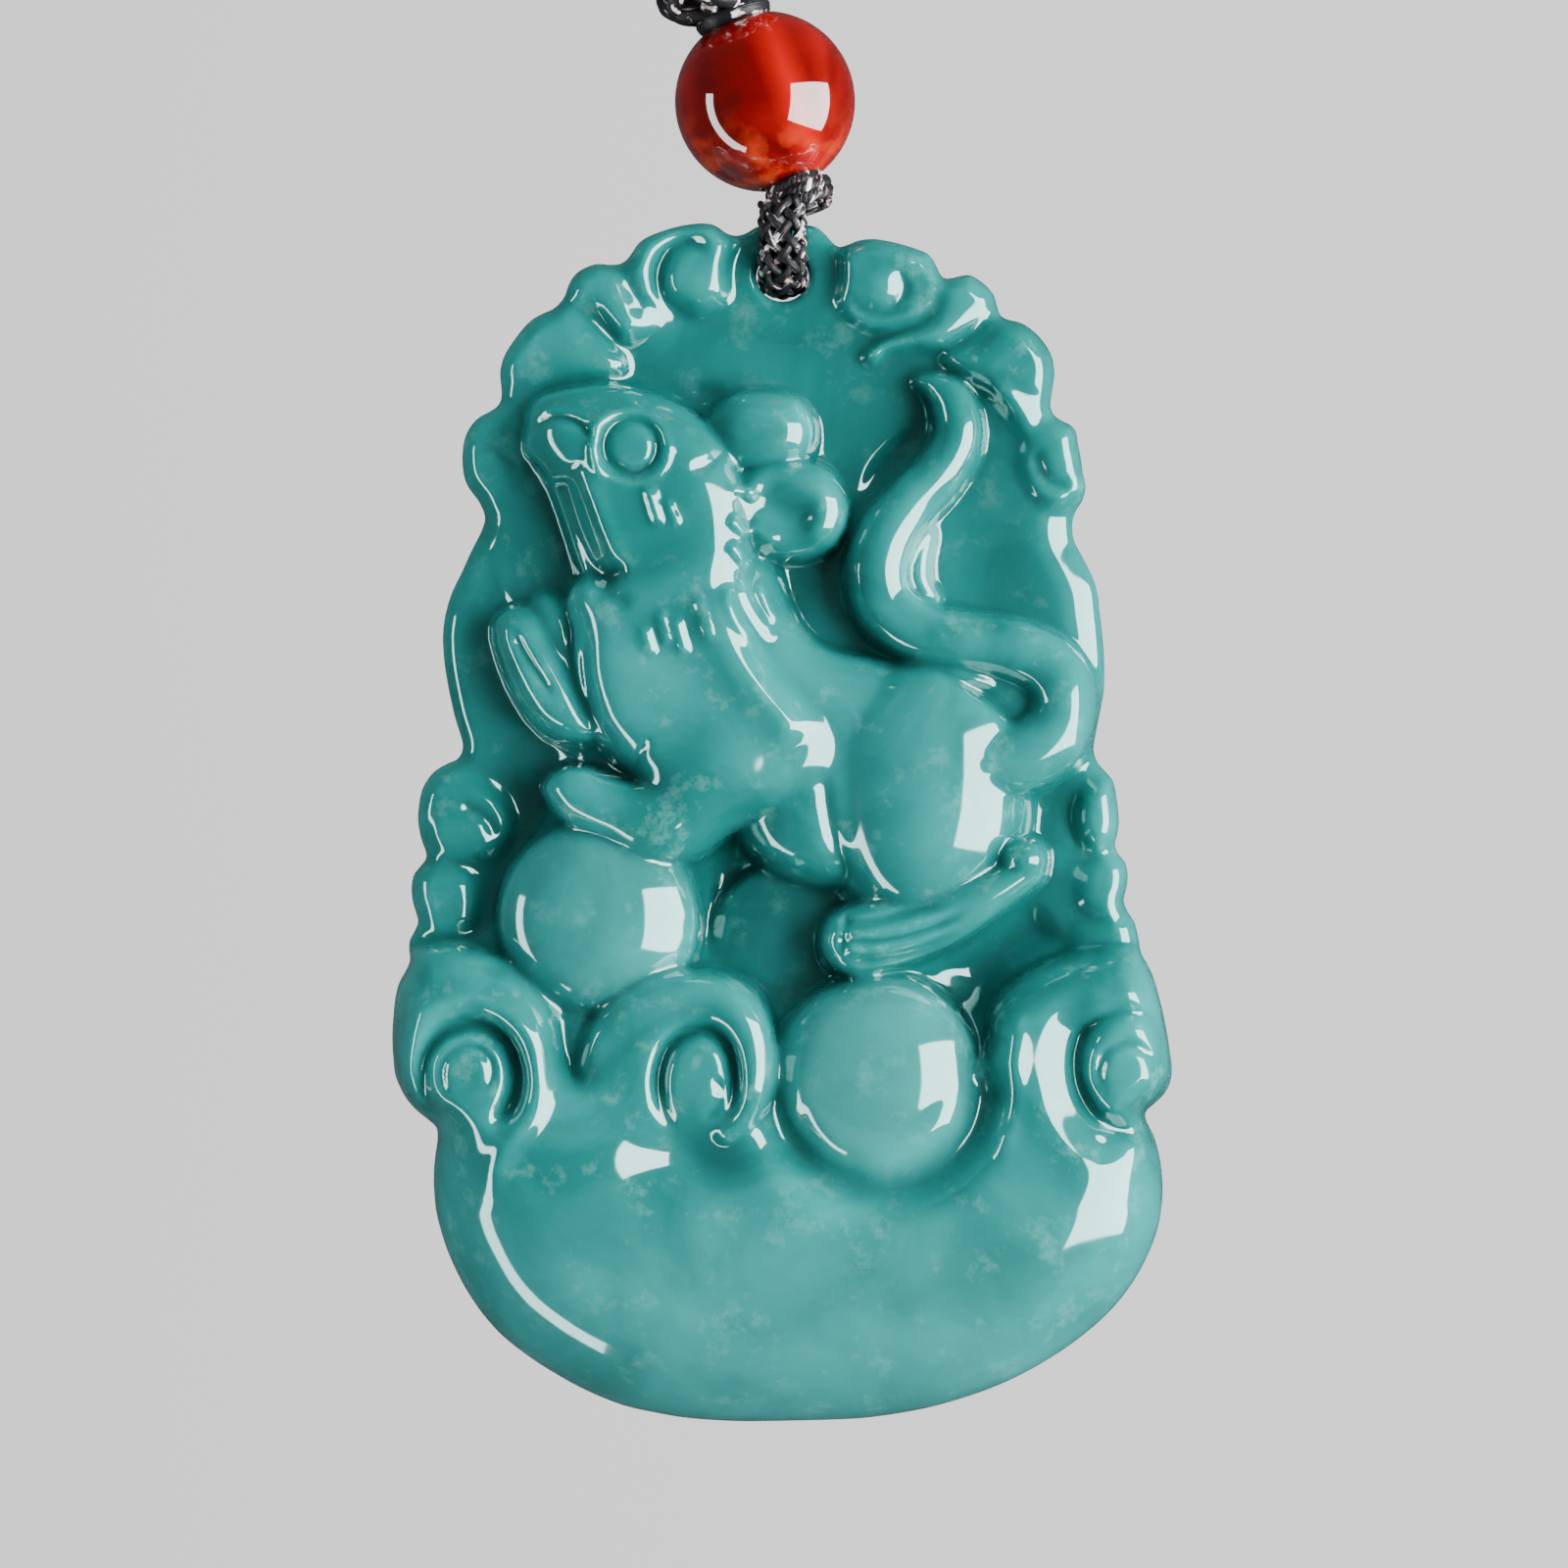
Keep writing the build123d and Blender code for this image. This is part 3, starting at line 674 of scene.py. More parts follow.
# Fine lines of the cheek, the jaw and the ear's root
face_lines = [
    (stroke, [(662, 496), (668, 518), (676, 542)], 6, 0.35),
    (stroke, [(681, 510), (687, 526), (695, 542)], 4.5, 0.2),
    (stroke, [(600, 612), (622, 610), (650, 622)], 9, -0.3, 0.3),
    (stroke, [(706, 484), (722, 478), (742, 462)], 6, -0.3, 0.3),
]
lay(face_lines)

# Hairs of the cheek and tufts of the neck
hair_size = (5, 0.45)
tuft_size = (6, 0.45)
cheek_hairs = [
    [(658, 638), (662, 654), (668, 672)],
    [(675, 622), (680, 642), (685, 662)],
    [(690, 628), (695, 650), (702, 672)],
    [(712, 604), (719, 630), (728, 660)],
]
neck_tufts = [
    [(742, 596), (750, 630), (772, 660)],
    [(756, 590), (770, 625), (792, 655)],
    [(772, 590), (784, 620), (798, 642)],
    [(745, 500), (760, 503), (775, 508)],
    [(744, 530), (756, 540), (766, 552)],
    [(744, 555), (754, 566), (764, 580)],
]
for hair in cheek_hairs:
    stroke(hair, *hair_size)
for tuft in neck_tufts:
    stroke(tuft, *tuft_size)

# Fine lines of the limbs and between the toes
limb_and_toe_lines = [
    (stroke, [(842, 780), (845, 825), (858, 875), (888, 918)], 8, -0.3),
    (stroke, [(524, 636), (535, 662), (552, 690), (570, 716)], 5, -0.35),
    (stroke, [(598, 640), (600, 690), (612, 735), (636, 768)], 6, -0.5),
    (stroke, [(665, 752), (655, 770), (650, 790)], 4, -0.2),
    (stroke, [(845, 940), (885, 940), (930, 929), (970, 924)], 4.5, -0.4),
    (stroke, [(838, 957), (885, 959), (935, 950), (990, 928)], 4.5, -0.4),
    (stroke, [(846, 975), (888, 977), (935, 968), (985, 948)], 4.5, -0.4),
    (stroke, [(868, 925), (862, 945), (858, 975)], 4, -0.3),
]
lay(limb_and_toe_lines)
relief.soften(0.6)

# The stone's front face, which no form stands out of
front_face = 8.1
front_blend = 0.4
relief.height = -smooth_max(-relief.height, np.full_like(relief.height, -front_face), front_blend)


def sample(field, x, y):
    """Read a grid field at places between its points."""
    column = np.clip((x - grid_x[0]) / grid_step, 0, len(grid_x) - 1.001)
    row = np.clip((y - grid_y[0]) / grid_step, 0, len(grid_y) - 1.001)
    left = column.astype(int)
    top = row.astype(int)
    right_share = column - left
    low_share = row - top
    return (
        field[top, left] * (1 - right_share) * (1 - low_share)
        + field[top, left + 1] * right_share * (1 - low_share)
        + field[top + 1, left] * (1 - right_share) * low_share
        + field[top + 1, left + 1] * right_share * low_share
    )


# Width of the rounding at the rim, in pixels, down the jade's height
rim_rows = [200, 500, 530, 760, 800, 960, 1000, 1120, 1165, 1230, 1475]
rim_widths = [20, 20, 24, 24, 20, 22, 36, 40, 70, 112, 112]
right_side_rows = [500, 540, 600, 700, 760]
right_side_widths = [0, 22, 22, 12, 0]

# Roundings of the hole's edge in front, and of the back: height in mm, width in pixels
hole_edge = (0.35, 9)
back_hole_edge = (0.3, 8)
back_rim = (0.6, 14)
back_middle_up = 26.6
back_dome_scale = 885


def rim_width(x, y):
    width = np.interp(y, rim_rows, rim_widths)
    return width + np.where(x > photo_middle, np.interp(y, right_side_rows, right_side_widths), 0)


def from_hole(x, y):
    return np.hypot(x - hole_middle[0], y - hole_middle[1]) - hole_radius


def rounding(edge_size, depth):
    """How much a rounded edge lowers a place that lies so deep inside it."""
    return edge_size[0] * (1 - round_profile(depth / edge_size[1]))


def front_height(x, y, depth):
    """The finished front's height at a place that lies so deep inside the outline."""
    height = sample(relief.height, x, y)
    height = wall_height + (height - wall_height) * round_profile(depth / rim_width(x, y))
    return height - rounding(hole_edge, from_hole(x, y))


def back_height(x, y, depth):
    """The back's height, domed and rounded at its rim."""
    away = np.hypot(across_mm(x) - jade_middle_x, up_mm(y) - jade_foot_z - back_middle_up)
    edges = rounding(back_rim, depth) + rounding(back_hole_edge, from_hole(x, y))
    return away**2 / back_dome_scale + edges


# Mesh of the jade: rings along the outline and the hole, and a field of points between them
hole_points = 72
inner_corner_share = 0.96
row_share = 0.87
hole_slack = 0.998
exact_depth = 45
hole_angles = np.linspace(0, 2 * math.pi, hole_points, endpoint=False)
hole_circle = np.stack([np.cos(hole_angles), np.sin(hole_angles)], axis=1)
hole_ring = hole_middle + hole_radius * hole_circle
run = np.roll(outline, -1, axis=0) - np.roll(outline, 1, axis=0)
inward = np.stack([-run[:, 1], run[:, 0]], axis=1)
inward /= np.hypot(*inward.T)[:, None]
if not inside_contour(outline, *(outline[:1] + 2 * inward[:1]).T)[0]:
    inward = -inward


def ring_points(offsets):
    """Points at set distances inside the outline and around the hole."""
    kept = []
    for offset in offsets:
        moved = outline + inward * offset
        real = segment_distance(outline, *moved.T)
        kept.append(moved[real > inner_corner_share * offset])
        kept.append(hole_middle + (hole_ring - hole_middle) * (1 + offset / hole_radius))
    return np.vstack(kept)


def field_points(pitch, low_row, high_row, clear):
    """Staggered points inside the outline, clear of its rings."""
    rows = np.arange(low_row, high_row, pitch * row_share)
    columns = np.arange(grid_x[0], grid_x[-1], pitch)
    x, y = np.meshgrid(columns, rows)
    x = x + np.where(np.arange(len(rows))[:, None] % 2, pitch / 2, 0)
    keep = (sample(edge.astype(np.float32), x, y) > clear) & (from_hole(x, y) > clear)
    return np.stack([x[keep], y[keep]], axis=1)


def triangulate(points):
    """Triangles over the points inside the outline and outside the hole."""
    border_count = len(outline)
    loops = [(i, (i + 1) % border_count) for i in range(border_count)]
    loops += [(border_count + i, border_count + (i + 1) % hole_points) for i in range(hole_points)]
    everything = np.vstack([outline, hole_ring, points])
    result = delaunay_2d_cdt([Vector(p) for p in everything], loops, [], 0, 1e-6)
    places = np.array([tuple(v) for v in result[0]])
    triangles = np.array([tuple(f) for f in result[2]])
    origin = [given[0] if given else -1 for given in result[3]]
    x, y = places[triangles].mean(axis=1).T
    within = inside_contour(outline, x, y)
    within &= np.hypot(x - hole_middle[0], y - hole_middle[1]) > hole_radius * hole_slack
    triangles = triangles[within]
    back = np.full(len(everything), -1)
    for index, first in enumerate(origin):
        if first >= 0 and back[first] < 0:
            back[first] = index
    corners = places[triangles]
    area = np.cross(corners[:, 1] - corners[:, 0], corners[:, 2] - corners[:, 0])
    triangles[area < 0] = triangles[area < 0][:, ::-1]
    return places, triangles, back[: border_count + hole_points]


# Rings at their distances from the edges, then fields of points with their pitch and clearance.
# The plain foot below the base row has fewer points.
base_row = 1215
front_points = np.vstack([
    ring_points([0.15, 0.6, 1.3, 2.4, 4.0]),
    field_points(3.3, grid_y[0], base_row, 5.5),
    field_points(6.0, base_row + 3, grid_y[-1], 5.5),
])
back_points = np.vstack([ring_points([0.3, 1.5, 4, 8, 14]), field_points(13, grid_y[0], grid_y[-1], 17)])


def surface(points, height_of):
    """One side of the jade: its places, its triangles, its border's points and its vertices."""
    places, triangles, loop = triangulate(points)
    depth = sample(edge.astype(np.float32), *places.T)
    close = depth < exact_depth
    depth[close] = segment_distance(outline, *places[close].T)
    depth = np.maximum(depth, 0)
    depth[loop[: len(outline)]] = 0
    x, y = places.T
    vertices = np.stack([across_mm(x), back_y - height_of(x, y, depth), up_mm(y)], axis=1)
    return places, triangles, loop, vertices


front_places, front_triangles, front_loop, front = surface(front_points, front_height)
_, back_triangles, back_loop, back = surface(back_points, back_height)
vertices = [front, back]
faces = [front_triangles, back_triangles[:, ::-1] + len(front)]
count = len(front) + len(back)
wall_rows = 6
for first, size in ((0, len(outline)), (len(outline), hole_points)):
    top_loop = front_loop[first : first + size]
    low_loop = back_loop[first : first + size]
    loops = [top_loop]
    for row in range(1, wall_rows):
        share = row / wall_rows
        vertices.append(front[top_loop] * (1 - share) + back[low_loop] * share)
        loops.append(np.arange(count, count + size))
        count += size
    loops.append(low_loop + len(front))
    for upper, lower in zip(loops, loops[1:]):
        after = np.roll(np.arange(size), -1)
        faces.append(np.stack([upper, upper[after], lower[after], lower], axis=1))
vertices = np.vstack(vertices)
jade = add_mesh("jade", vertices, [face for part in faces for face in part])
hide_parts("jade_pendant")
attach(jade, "jade")

# How high each point of the front stands, and how far it lies below the ground around it: the jade's
# material paints shade from both
around_reach = 9
deepest_cavity = 3
back_and_wall_rise = 6.0
front_rise = sample(relief.height, *front_places.T)
around = np.maximum(blur(relief.height, around_reach), 0).astype(np.float32)
around_height = sample(around, *front_places.T)
rise = np.full(len(vertices), back_and_wall_rise)
rise[: len(front)] = front_rise
cavity = np.zeros(len(vertices), np.float32)
cavity[: len(front)] = np.clip(around_height - front_rise, 0, deepest_cavity)
add_mark(jade, "cavity", cavity)
add_mark(jade, "rise", rise)


# Cords, knots and bead, in mm, with part.py's places

string_lean = math.radians(20.5)
string_down = Vector((math.sin(string_lean), 0, -math.cos(string_lean)))
string_side = Vector((math.cos(string_lean), 0, math.sin(string_lean)))
to_front = Vector((0, -1, 0))
upper_knot_middle = Vector((1.4, 0, -22.3))
upper_knot_radius = 3.1
upper_knot_half_height = 2.3
bead_middle = (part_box("agate_bead")[0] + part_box("agate_bead")[1]) / 2 / MM
bead_radius = 4.0
bore_radius = 0.75
bore_round = 0.2
lower_knot_middle = bead_middle + string_down * 4.45
lower_knot_half = (1.55, 0.95, 2.197)
loop_middle = Vector((jade_middle_x, 0, -33.435))
loop_radius = 2.1
loop_turn = math.radians(250)
braid_half = (1.17, 0.84)
braid_strand = 0.19
weave_share = 0.45
cord_diameter = 1.5
cord_core_radius = 0.58
cord_route = [
    (-0.22, -20.38),
    (-1.35, -17.50),
    (-2.90, -14.15),
    (-4.35, -10.45),
    (-5.20, -6.60),
    (-5.20, -2.30),
    (-2.15, 0.75),
    (2.15, 0.75),
    (5.20, -2.30),
    (5.20, -6.60),
    (4.50, -9.85),
    (3.10, -13.05),
    (1.45, -16.45),
    (1.37, -19.79),
]


class Strands:
    """Round strands gathered into one mesh, each with its own running length and number."""

    def __init__(self):
        self.vertices = []
        self.faces = []
        self.marks = []
        self.count = 0

    def add(self, line, radius, sides=8, squash=1.0, out=(0.3, 0.9, 0.2)):
        """Add one strand along a line of points in mm. Squash flattens it along the direction out."""
        line = np.asarray(line, float)
        tangent = np.gradient(line, axis=0)
        tangent /= np.linalg.norm(tangent, axis=1)[:, None]
        side = np.cross(tangent, out)
        side /= np.linalg.norm(side, axis=1)[:, None]
        lift = np.cross(side, tangent)
        length = np.r_[0, np.cumsum(np.linalg.norm(np.diff(line, axis=0), axis=1))]
        turn = np.linspace(0, 2 * math.pi, sides, endpoint=False)
        ring = (
            line[:, None]
            + side[:, None] * (radius * np.cos(turn))[None, :, None]
            + lift[:, None] * (radius * squash * np.sin(turn))[None, :, None]
        )
        along = np.repeat(length, sides)
        across = np.tile(np.sin(turn), len(line))
        number = np.full(len(along), len(self.marks))
        self.vertices.append(ring.reshape(-1, 3))
        self.marks.append(np.stack([along, across, number], axis=1))
        index = self.count + np.arange(len(along)).reshape(len(line), sides)
        after = np.roll(index, -1, axis=1)
        quads = np.stack([index[:-1], after[:-1], after[1:], index[1:]], axis=-1).reshape(-1, 4)
        self.faces += [tuple(q) for q in quads]
        self.faces += [tuple(index[0][::-1]), tuple(index[-1])]
        self.count += len(along)

    def build(self, name):
        piece = add_mesh(name, np.vstack(self.vertices), self.faces)
        for mark, values in zip(("along", "across", "strand"), np.vstack(self.marks).T):
            add_mark(piece, mark, values)
        return piece


def even_line(points, spacing=0.1):
    """The same line at an even spacing, with its tangents and running lengths."""
    points = np.asarray(points, float)
    length = np.r_[0, np.cumsum(np.linalg.norm(np.diff(points, axis=0), axis=1))]
    places = np.linspace(0, length[-1], max(int(length[-1] / spacing), 4))
    line = np.stack([np.interp(places, length, column) for column in points.T], axis=1)
    tangent = np.gradient(line, axis=0)
    return line, tangent / np.linalg.norm(tangent, axis=1)[:, None], places


def braid(strands, points, front, half_width, half_depth, carriers, pitch):
    """A tubular braid along the points: two families of strands that pass over and under."""
    line, tangent, places = even_line(points)
    side = np.cross(tangent, front)
    side /= np.linalg.norm(side, axis=1)[:, None]
    lift = np.cross(side, tangent)
    weave = weave_share * braid_strand
    wide = half_width - braid_strand - weave
    deep = half_depth - braid_strand - weave
    for direction in (1, -1):
        for carrier in range(carriers):
            angle = direction * 2 * math.pi * places / pitch + 2 * math.pi * carrier / carriers
            over = direction * weave * np.cos(carriers * 2 * math.pi * places / pitch)
            across, up = np.cos(angle)[:, None], np.sin(angle)[:, None]
            over = over[:, None]
            strand = line + side * ((wide + over) * across) + lift * ((deep + over) * up)
            strands.add(strand, braid_strand, sides=7, squash=0.8, out=side * across + lift * up)


# Hanging cord: the route's spline with a core, and strands that follow it. The core's
# thickness is held by its points' radius, which counts in the piece's bounds.
route = bpy.data.curves.new("hanging_cord", "CURVE")
route.dimensions = "3D"
route.resolution_u = 24
spline = route.splines.new("NURBS")
spline.points.add(len(cord_route) - 1)
for point, (x, z) in zip(spline.points, cord_route):
    point.co = (x * MM, 0, z * MM, 1)
    point.radius = cord_core_radius * MM
spline.order_u = 3
spline.use_endpoint_u = True
cord = bpy.data.objects.new("hanging_cord_line", route)
bpy.context.scene.collection.objects.link(cord)
plain = bpy.data.meshes.new_from_object(cord.evaluated_get(bpy.context.evaluated_depsgraph_get()))
cord_line = np.array([tuple(v.co) for v in plain.vertices]) / MM
bpy.data.meshes.remove(plain)
route.bevel_depth = 1
route.bevel_resolution = 4
route.use_fill_caps = True
cord_strands = Strands()
braid(cord_strands, cord_line, to_front, cord_diameter / 2, cord_diameter / 2, carriers=5, pitch=4.2)
cord_braid = cord_strands.build("hanging_cord_strands")
cord_braid.parent = cord
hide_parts("hanging_cord")
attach(cord, "cord")


def loop_directions(count):
    """Directions out of the loop's middle, from one of its ends to the other."""
    angle = np.linspace(-loop_turn / 2, loop_turn / 2, count)
    return np.stack([np.zeros(count), np.sin(angle), -np.cos(angle)], axis=1)


# Loop through the jade's eye
loop_core_radius = 0.42
loop_out = loop_directions(120)
loop_line = np.array(loop_middle) + loop_radius * loop_out
loop_strands = Strands()
loop_count = len(even_line(loop_line)[0])
braid(loop_strands, loop_line, loop_directions(loop_count), *braid_half, carriers=6, pitch=5.2)
loop_strands.add(loop_line, loop_core_radius, sides=12, squash=0.8, out=loop_out)
loop = loop_strands.build("loop_braid")
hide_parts("pendant_loop")
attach(loop, "cord")


def on_string(middle, across, depth, along):
    """A place about the leaning string: to the right of it, in front of it and down it."""
    return (
        np.array(middle)
        + np.multiply.outer(across, np.array(string_side))
        + np.multiply.outer(depth, np.array(to_front))
        + np.multiply.outer(along, np.array(string_down))
    )


# Lower knot: turns of braid wrapped round the loop's ends
wrap_turns = 3
wrap_radius = 0.36
yarn_radius = 0.165
yarn_reach = 0.2
yarn_twists = 22
yarns = 5
wrap_narrowing = 0.22
wrap_strands = Strands()
wrap_share = np.linspace(0, 1, 70 * wrap_turns)
wrap_angle = 2 * math.pi * wrap_turns * wrap_share
wrap_along = (wrap_share - 0.5) * 2 * (lower_knot_half[1] - wrap_radius)
wrap_shrink = 1 - wrap_narrowing * (2 * wrap_share - 1) ** 4
wrap_wide = (lower_knot_half[0] - wrap_radius) * wrap_shrink
wrap_deep = (lower_knot_half[2] - wrap_radius) * wrap_shrink
wrap_out = on_string((0, 0, 0), np.cos(wrap_angle), np.sin(wrap_angle), 0 * wrap_angle)
wrap_line = on_string(
    lower_knot_middle, wrap_wide * np.cos(wrap_angle), wrap_deep * np.sin(wrap_angle), wrap_along
)
for yarn in range(yarns):
    twist = 2 * math.pi * (wrap_share * yarn_twists + yarn / yarns)
    place = wrap_line + wrap_out * (yarn_reach * np.cos(twist))[:, None]
    place += np.outer(yarn_reach * np.sin(twist), np.array(string_down))
    wrap_strands.add(place, yarn_radius, sides=7, out=wrap_out)

# Its filling: strands along the string, one behind another, and two from front to back
upright_depth = 1.35
upright_clear = 0.15
upright_radius = 0.55
crossing_aside = 0.6
crossing_depth = 1.5
crossing_radius = 0.5
core_share = np.linspace(-1, 1, 24)
level = 0 * core_share
for depth in np.linspace(-upright_depth, upright_depth, 6):
    along = core_share * (lower_knot_half[1] - upright_clear)
    core = on_string(lower_knot_middle, level, depth + level, along)
    wrap_strands.add(core, upright_radius, sides=10)
for side in (-crossing_aside, crossing_aside):
    core = on_string(lower_knot_middle, side + level, core_share * crossing_depth, level)
    wrap_strands.add(core, crossing_radius, sides=10, out=string_down)
lower_knot = wrap_strands.build("lower_knot_wraps")
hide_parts("lower_knot")
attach(lower_knot, "cord")

# Upper knot: a plaited button, its doubled lead running round and over an egg
leads = 5
bights = 6
lead_radius = 0.4
lead_gap = 0.085
lead_lift = 0.26
lead_play = 0.24
lead_height = math.radians(66)
lead_squash = 0.75
lead_room_at_ends = 0.7 * lead_radius
lead_room_at_bead = 0.8 * lead_radius
lead_time = np.linspace(0, 2 * math.pi, 1400)
button = Strands()
for doubled in (-1, 1):
    longitude = leads * lead_time + doubled * lead_gap
    latitude = lead_height * np.sin(bights * lead_time)
    latitude += doubled * lead_gap * np.cos(bights * lead_time)
    lift = lead_lift * np.cos((leads - 1) * bights * lead_time)
    reach = upper_knot_radius - lead_radius - lead_play + lift
    high = upper_knot_half_height - lead_room_at_ends - lead_play + lift
    across, depth = np.cos(latitude) * np.cos(longitude), np.cos(latitude) * np.sin(longitude)
    along = -np.sin(latitude)
    direction = on_string((0, 0, 0), across, depth, along)
    line = on_string(upper_knot_middle, reach * across, reach * depth, high * along)
    from_bead = line - np.array(bead_middle)
    apart = np.linalg.norm(from_bead, axis=1)
    clear = np.maximum(apart, bead_radius + lead_room_at_bead)
    line = np.array(bead_middle) + from_bead * (clear / apart)[:, None]
    button.add(line, lead_radius, sides=10, squash=lead_squash, out=direction)

# Rings that fill it: latitude in degrees and radius
filling_reach = 2.5
filling_half_height = 1.75
turn = np.linspace(0, 2 * math.pi, 60)
for ring_latitude, ring_radius in ((58, 0.55), (72, 0.6), (-60, 0.5)):
    high = math.radians(ring_latitude)
    reach = filling_reach * math.cos(high)
    along = -filling_half_height * math.sin(high) + 0 * turn
    line = on_string(upper_knot_middle, reach * np.cos(turn), reach * np.sin(turn), along)
    button.add(line, ring_radius, sides=10, out=string_down)
upper_knot = button.build("upper_knot_plait")
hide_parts("upper_knot")
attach(upper_knot, "cord")


def revolved(name, profile, middle, segments):
    """A surface turned about the string from a closed profile of (away, along) in mm."""
    turn = np.linspace(0, 2 * math.pi, segments, endpoint=False)
    rings = on_string(
        middle,
        np.outer(profile[:, 0], np.cos(turn)),
        np.outer(profile[:, 0], np.sin(turn)),
        np.repeat(profile[:, 1:], segments, axis=1),
    )
    index = np.arange(len(profile) * segments).reshape(len(profile), segments)
    ahead = np.roll(index, -1, axis=1)
    below = np.roll(index, -1, axis=0)
    corner = np.roll(below, -1, axis=1)
    quads = np.stack([index, below, corner, ahead], axis=-1).reshape(-1, 4)
    return add_mesh(name, rings.reshape(-1, 3), quads)


# Bead, drilled along the string, with rounded mouths
mouth = math.asin((bore_radius + bore_round) / bead_radius)
mouth_along = bead_radius * math.cos(mouth)
sphere = np.linspace(mouth, math.pi - mouth, 90)
outer = np.stack([bead_radius * np.sin(sphere), -bead_radius * np.cos(sphere)], axis=1)
lip = np.linspace(0.1, 1, 6) * math.pi / 2
lip_away = bore_radius + bore_round * (1 - np.sin(lip))
low_lip = np.stack([lip_away, mouth_along - bore_round * (1 - np.cos(lip))], axis=1)
bore_rings = 10
bore_share = 0.92
bore_along = np.linspace(bore_share, -bore_share, bore_rings) * (mouth_along - bore_round)
bore = np.stack([np.full(bore_rings, bore_radius), bore_along], axis=1)
high_lip = low_lip[::-1] * np.array([1, -1])
bead = revolved("agate_bead_ball", np.vstack([outer, low_lip, bore, high_lip]), bead_middle, 120)
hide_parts("agate_bead")
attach(bead, "cord")

# Thread inside the bead
thread_yarns = 4
thread_turns = 3.2
thread_away = 0.26
thread_yarn_radius = 0.27
thread_end_gap = 0.02
thread_strands = Strands()
thread_share = np.linspace(-1, 1, 90)
for yarn in range(thread_yarns):
    twist = math.pi * (thread_share * thread_turns + 2 * yarn / thread_yarns)
    along = thread_share * (bead_radius - thread_end_gap)
    line = on_string(bead_middle, thread_away * np.cos(twist), thread_away * np.sin(twist), along)
    thread_strands.add(line, thread_yarn_radius, sides=9)
thread = thread_strands.build("bead_thread_twist")
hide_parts("bead_thread")
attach(thread, "cord")


# Materials


class Shading:
    """A material, its shader and the nodes in front of it."""

    def __init__(self, name):
        self.material = bpy.data.materials.new(name)
        self.material.use_nodes = True
        self.nodes = self.material.node_tree.nodes
        self.links = self.material.node_tree.links
        self.shader = self.nodes["Principled BSDF"]

    def feed(self, node, values):
        """Link a node's sockets to other nodes' outputs, or set them."""
        for socket, value in values.items():
            if isinstance(value, bpy.types.NodeSocket):
                self.links.new(value, node.inputs[socket])
            else:
                node.inputs[socket].default_value = value

    def finish(self, values):
        """Feed the shader and give the material."""
        self.feed(self.shader, values)
        return self.material

    def add(self, kind, output, values, **settings):
        """Add a node and give one of its outputs."""
        node = self.nodes.new("ShaderNode" + kind)
        for name, value in settings.items():
            setattr(node, name, value)
        self.feed(node, values)
        return node.outputs[output]

    def mark(self, name):
        return self.add("Attribute", "Fac", {}, attribute_name=name)

    def noise(self, place, scale, detail=2.0, roughness=0.5, distortion=0.0):
        values = {"Vector": place, "Scale": scale, "Detail": detail, "Roughness": roughness}
        return self.add("TexNoise", "Fac", {**values, "Distortion": distortion})

    def span(self, value, low, high, least=0.0, most=1.0, **settings):
        """Map a value from low to high onto least to most."""
        values = {"Value": value, "From Min": low, "From Max": high, "To Min": least, "To Max": most}
        return self.add("MapRange", "Result", values, **settings)

    def ramp(self, value, first, last, *between):
        """Colours along a value, each stop a position and a colour."""
        node = self.nodes.new("ShaderNodeValToRGB")
        stops = node.color_ramp.elements
        for stop, (position, colour) in zip(stops, (first, last)):
            stop.position = position
            stop.color = colour
        for position, colour in between:
            stops.new(position).color = colour
        self.feed(node, {"Fac": value})
        return node.outputs["Color"]

    def mix(self, factor, first, second):
        values = {"Factor": factor, "A": first, "B": second}
        return self.add("Mix", "Result", values, data_type="RGBA")

    def bump(self, height, strength, distance):
        values = {"Height": height, "Strength": strength, "Distance": distance}
        return self.add("Bump", "Normal", values)


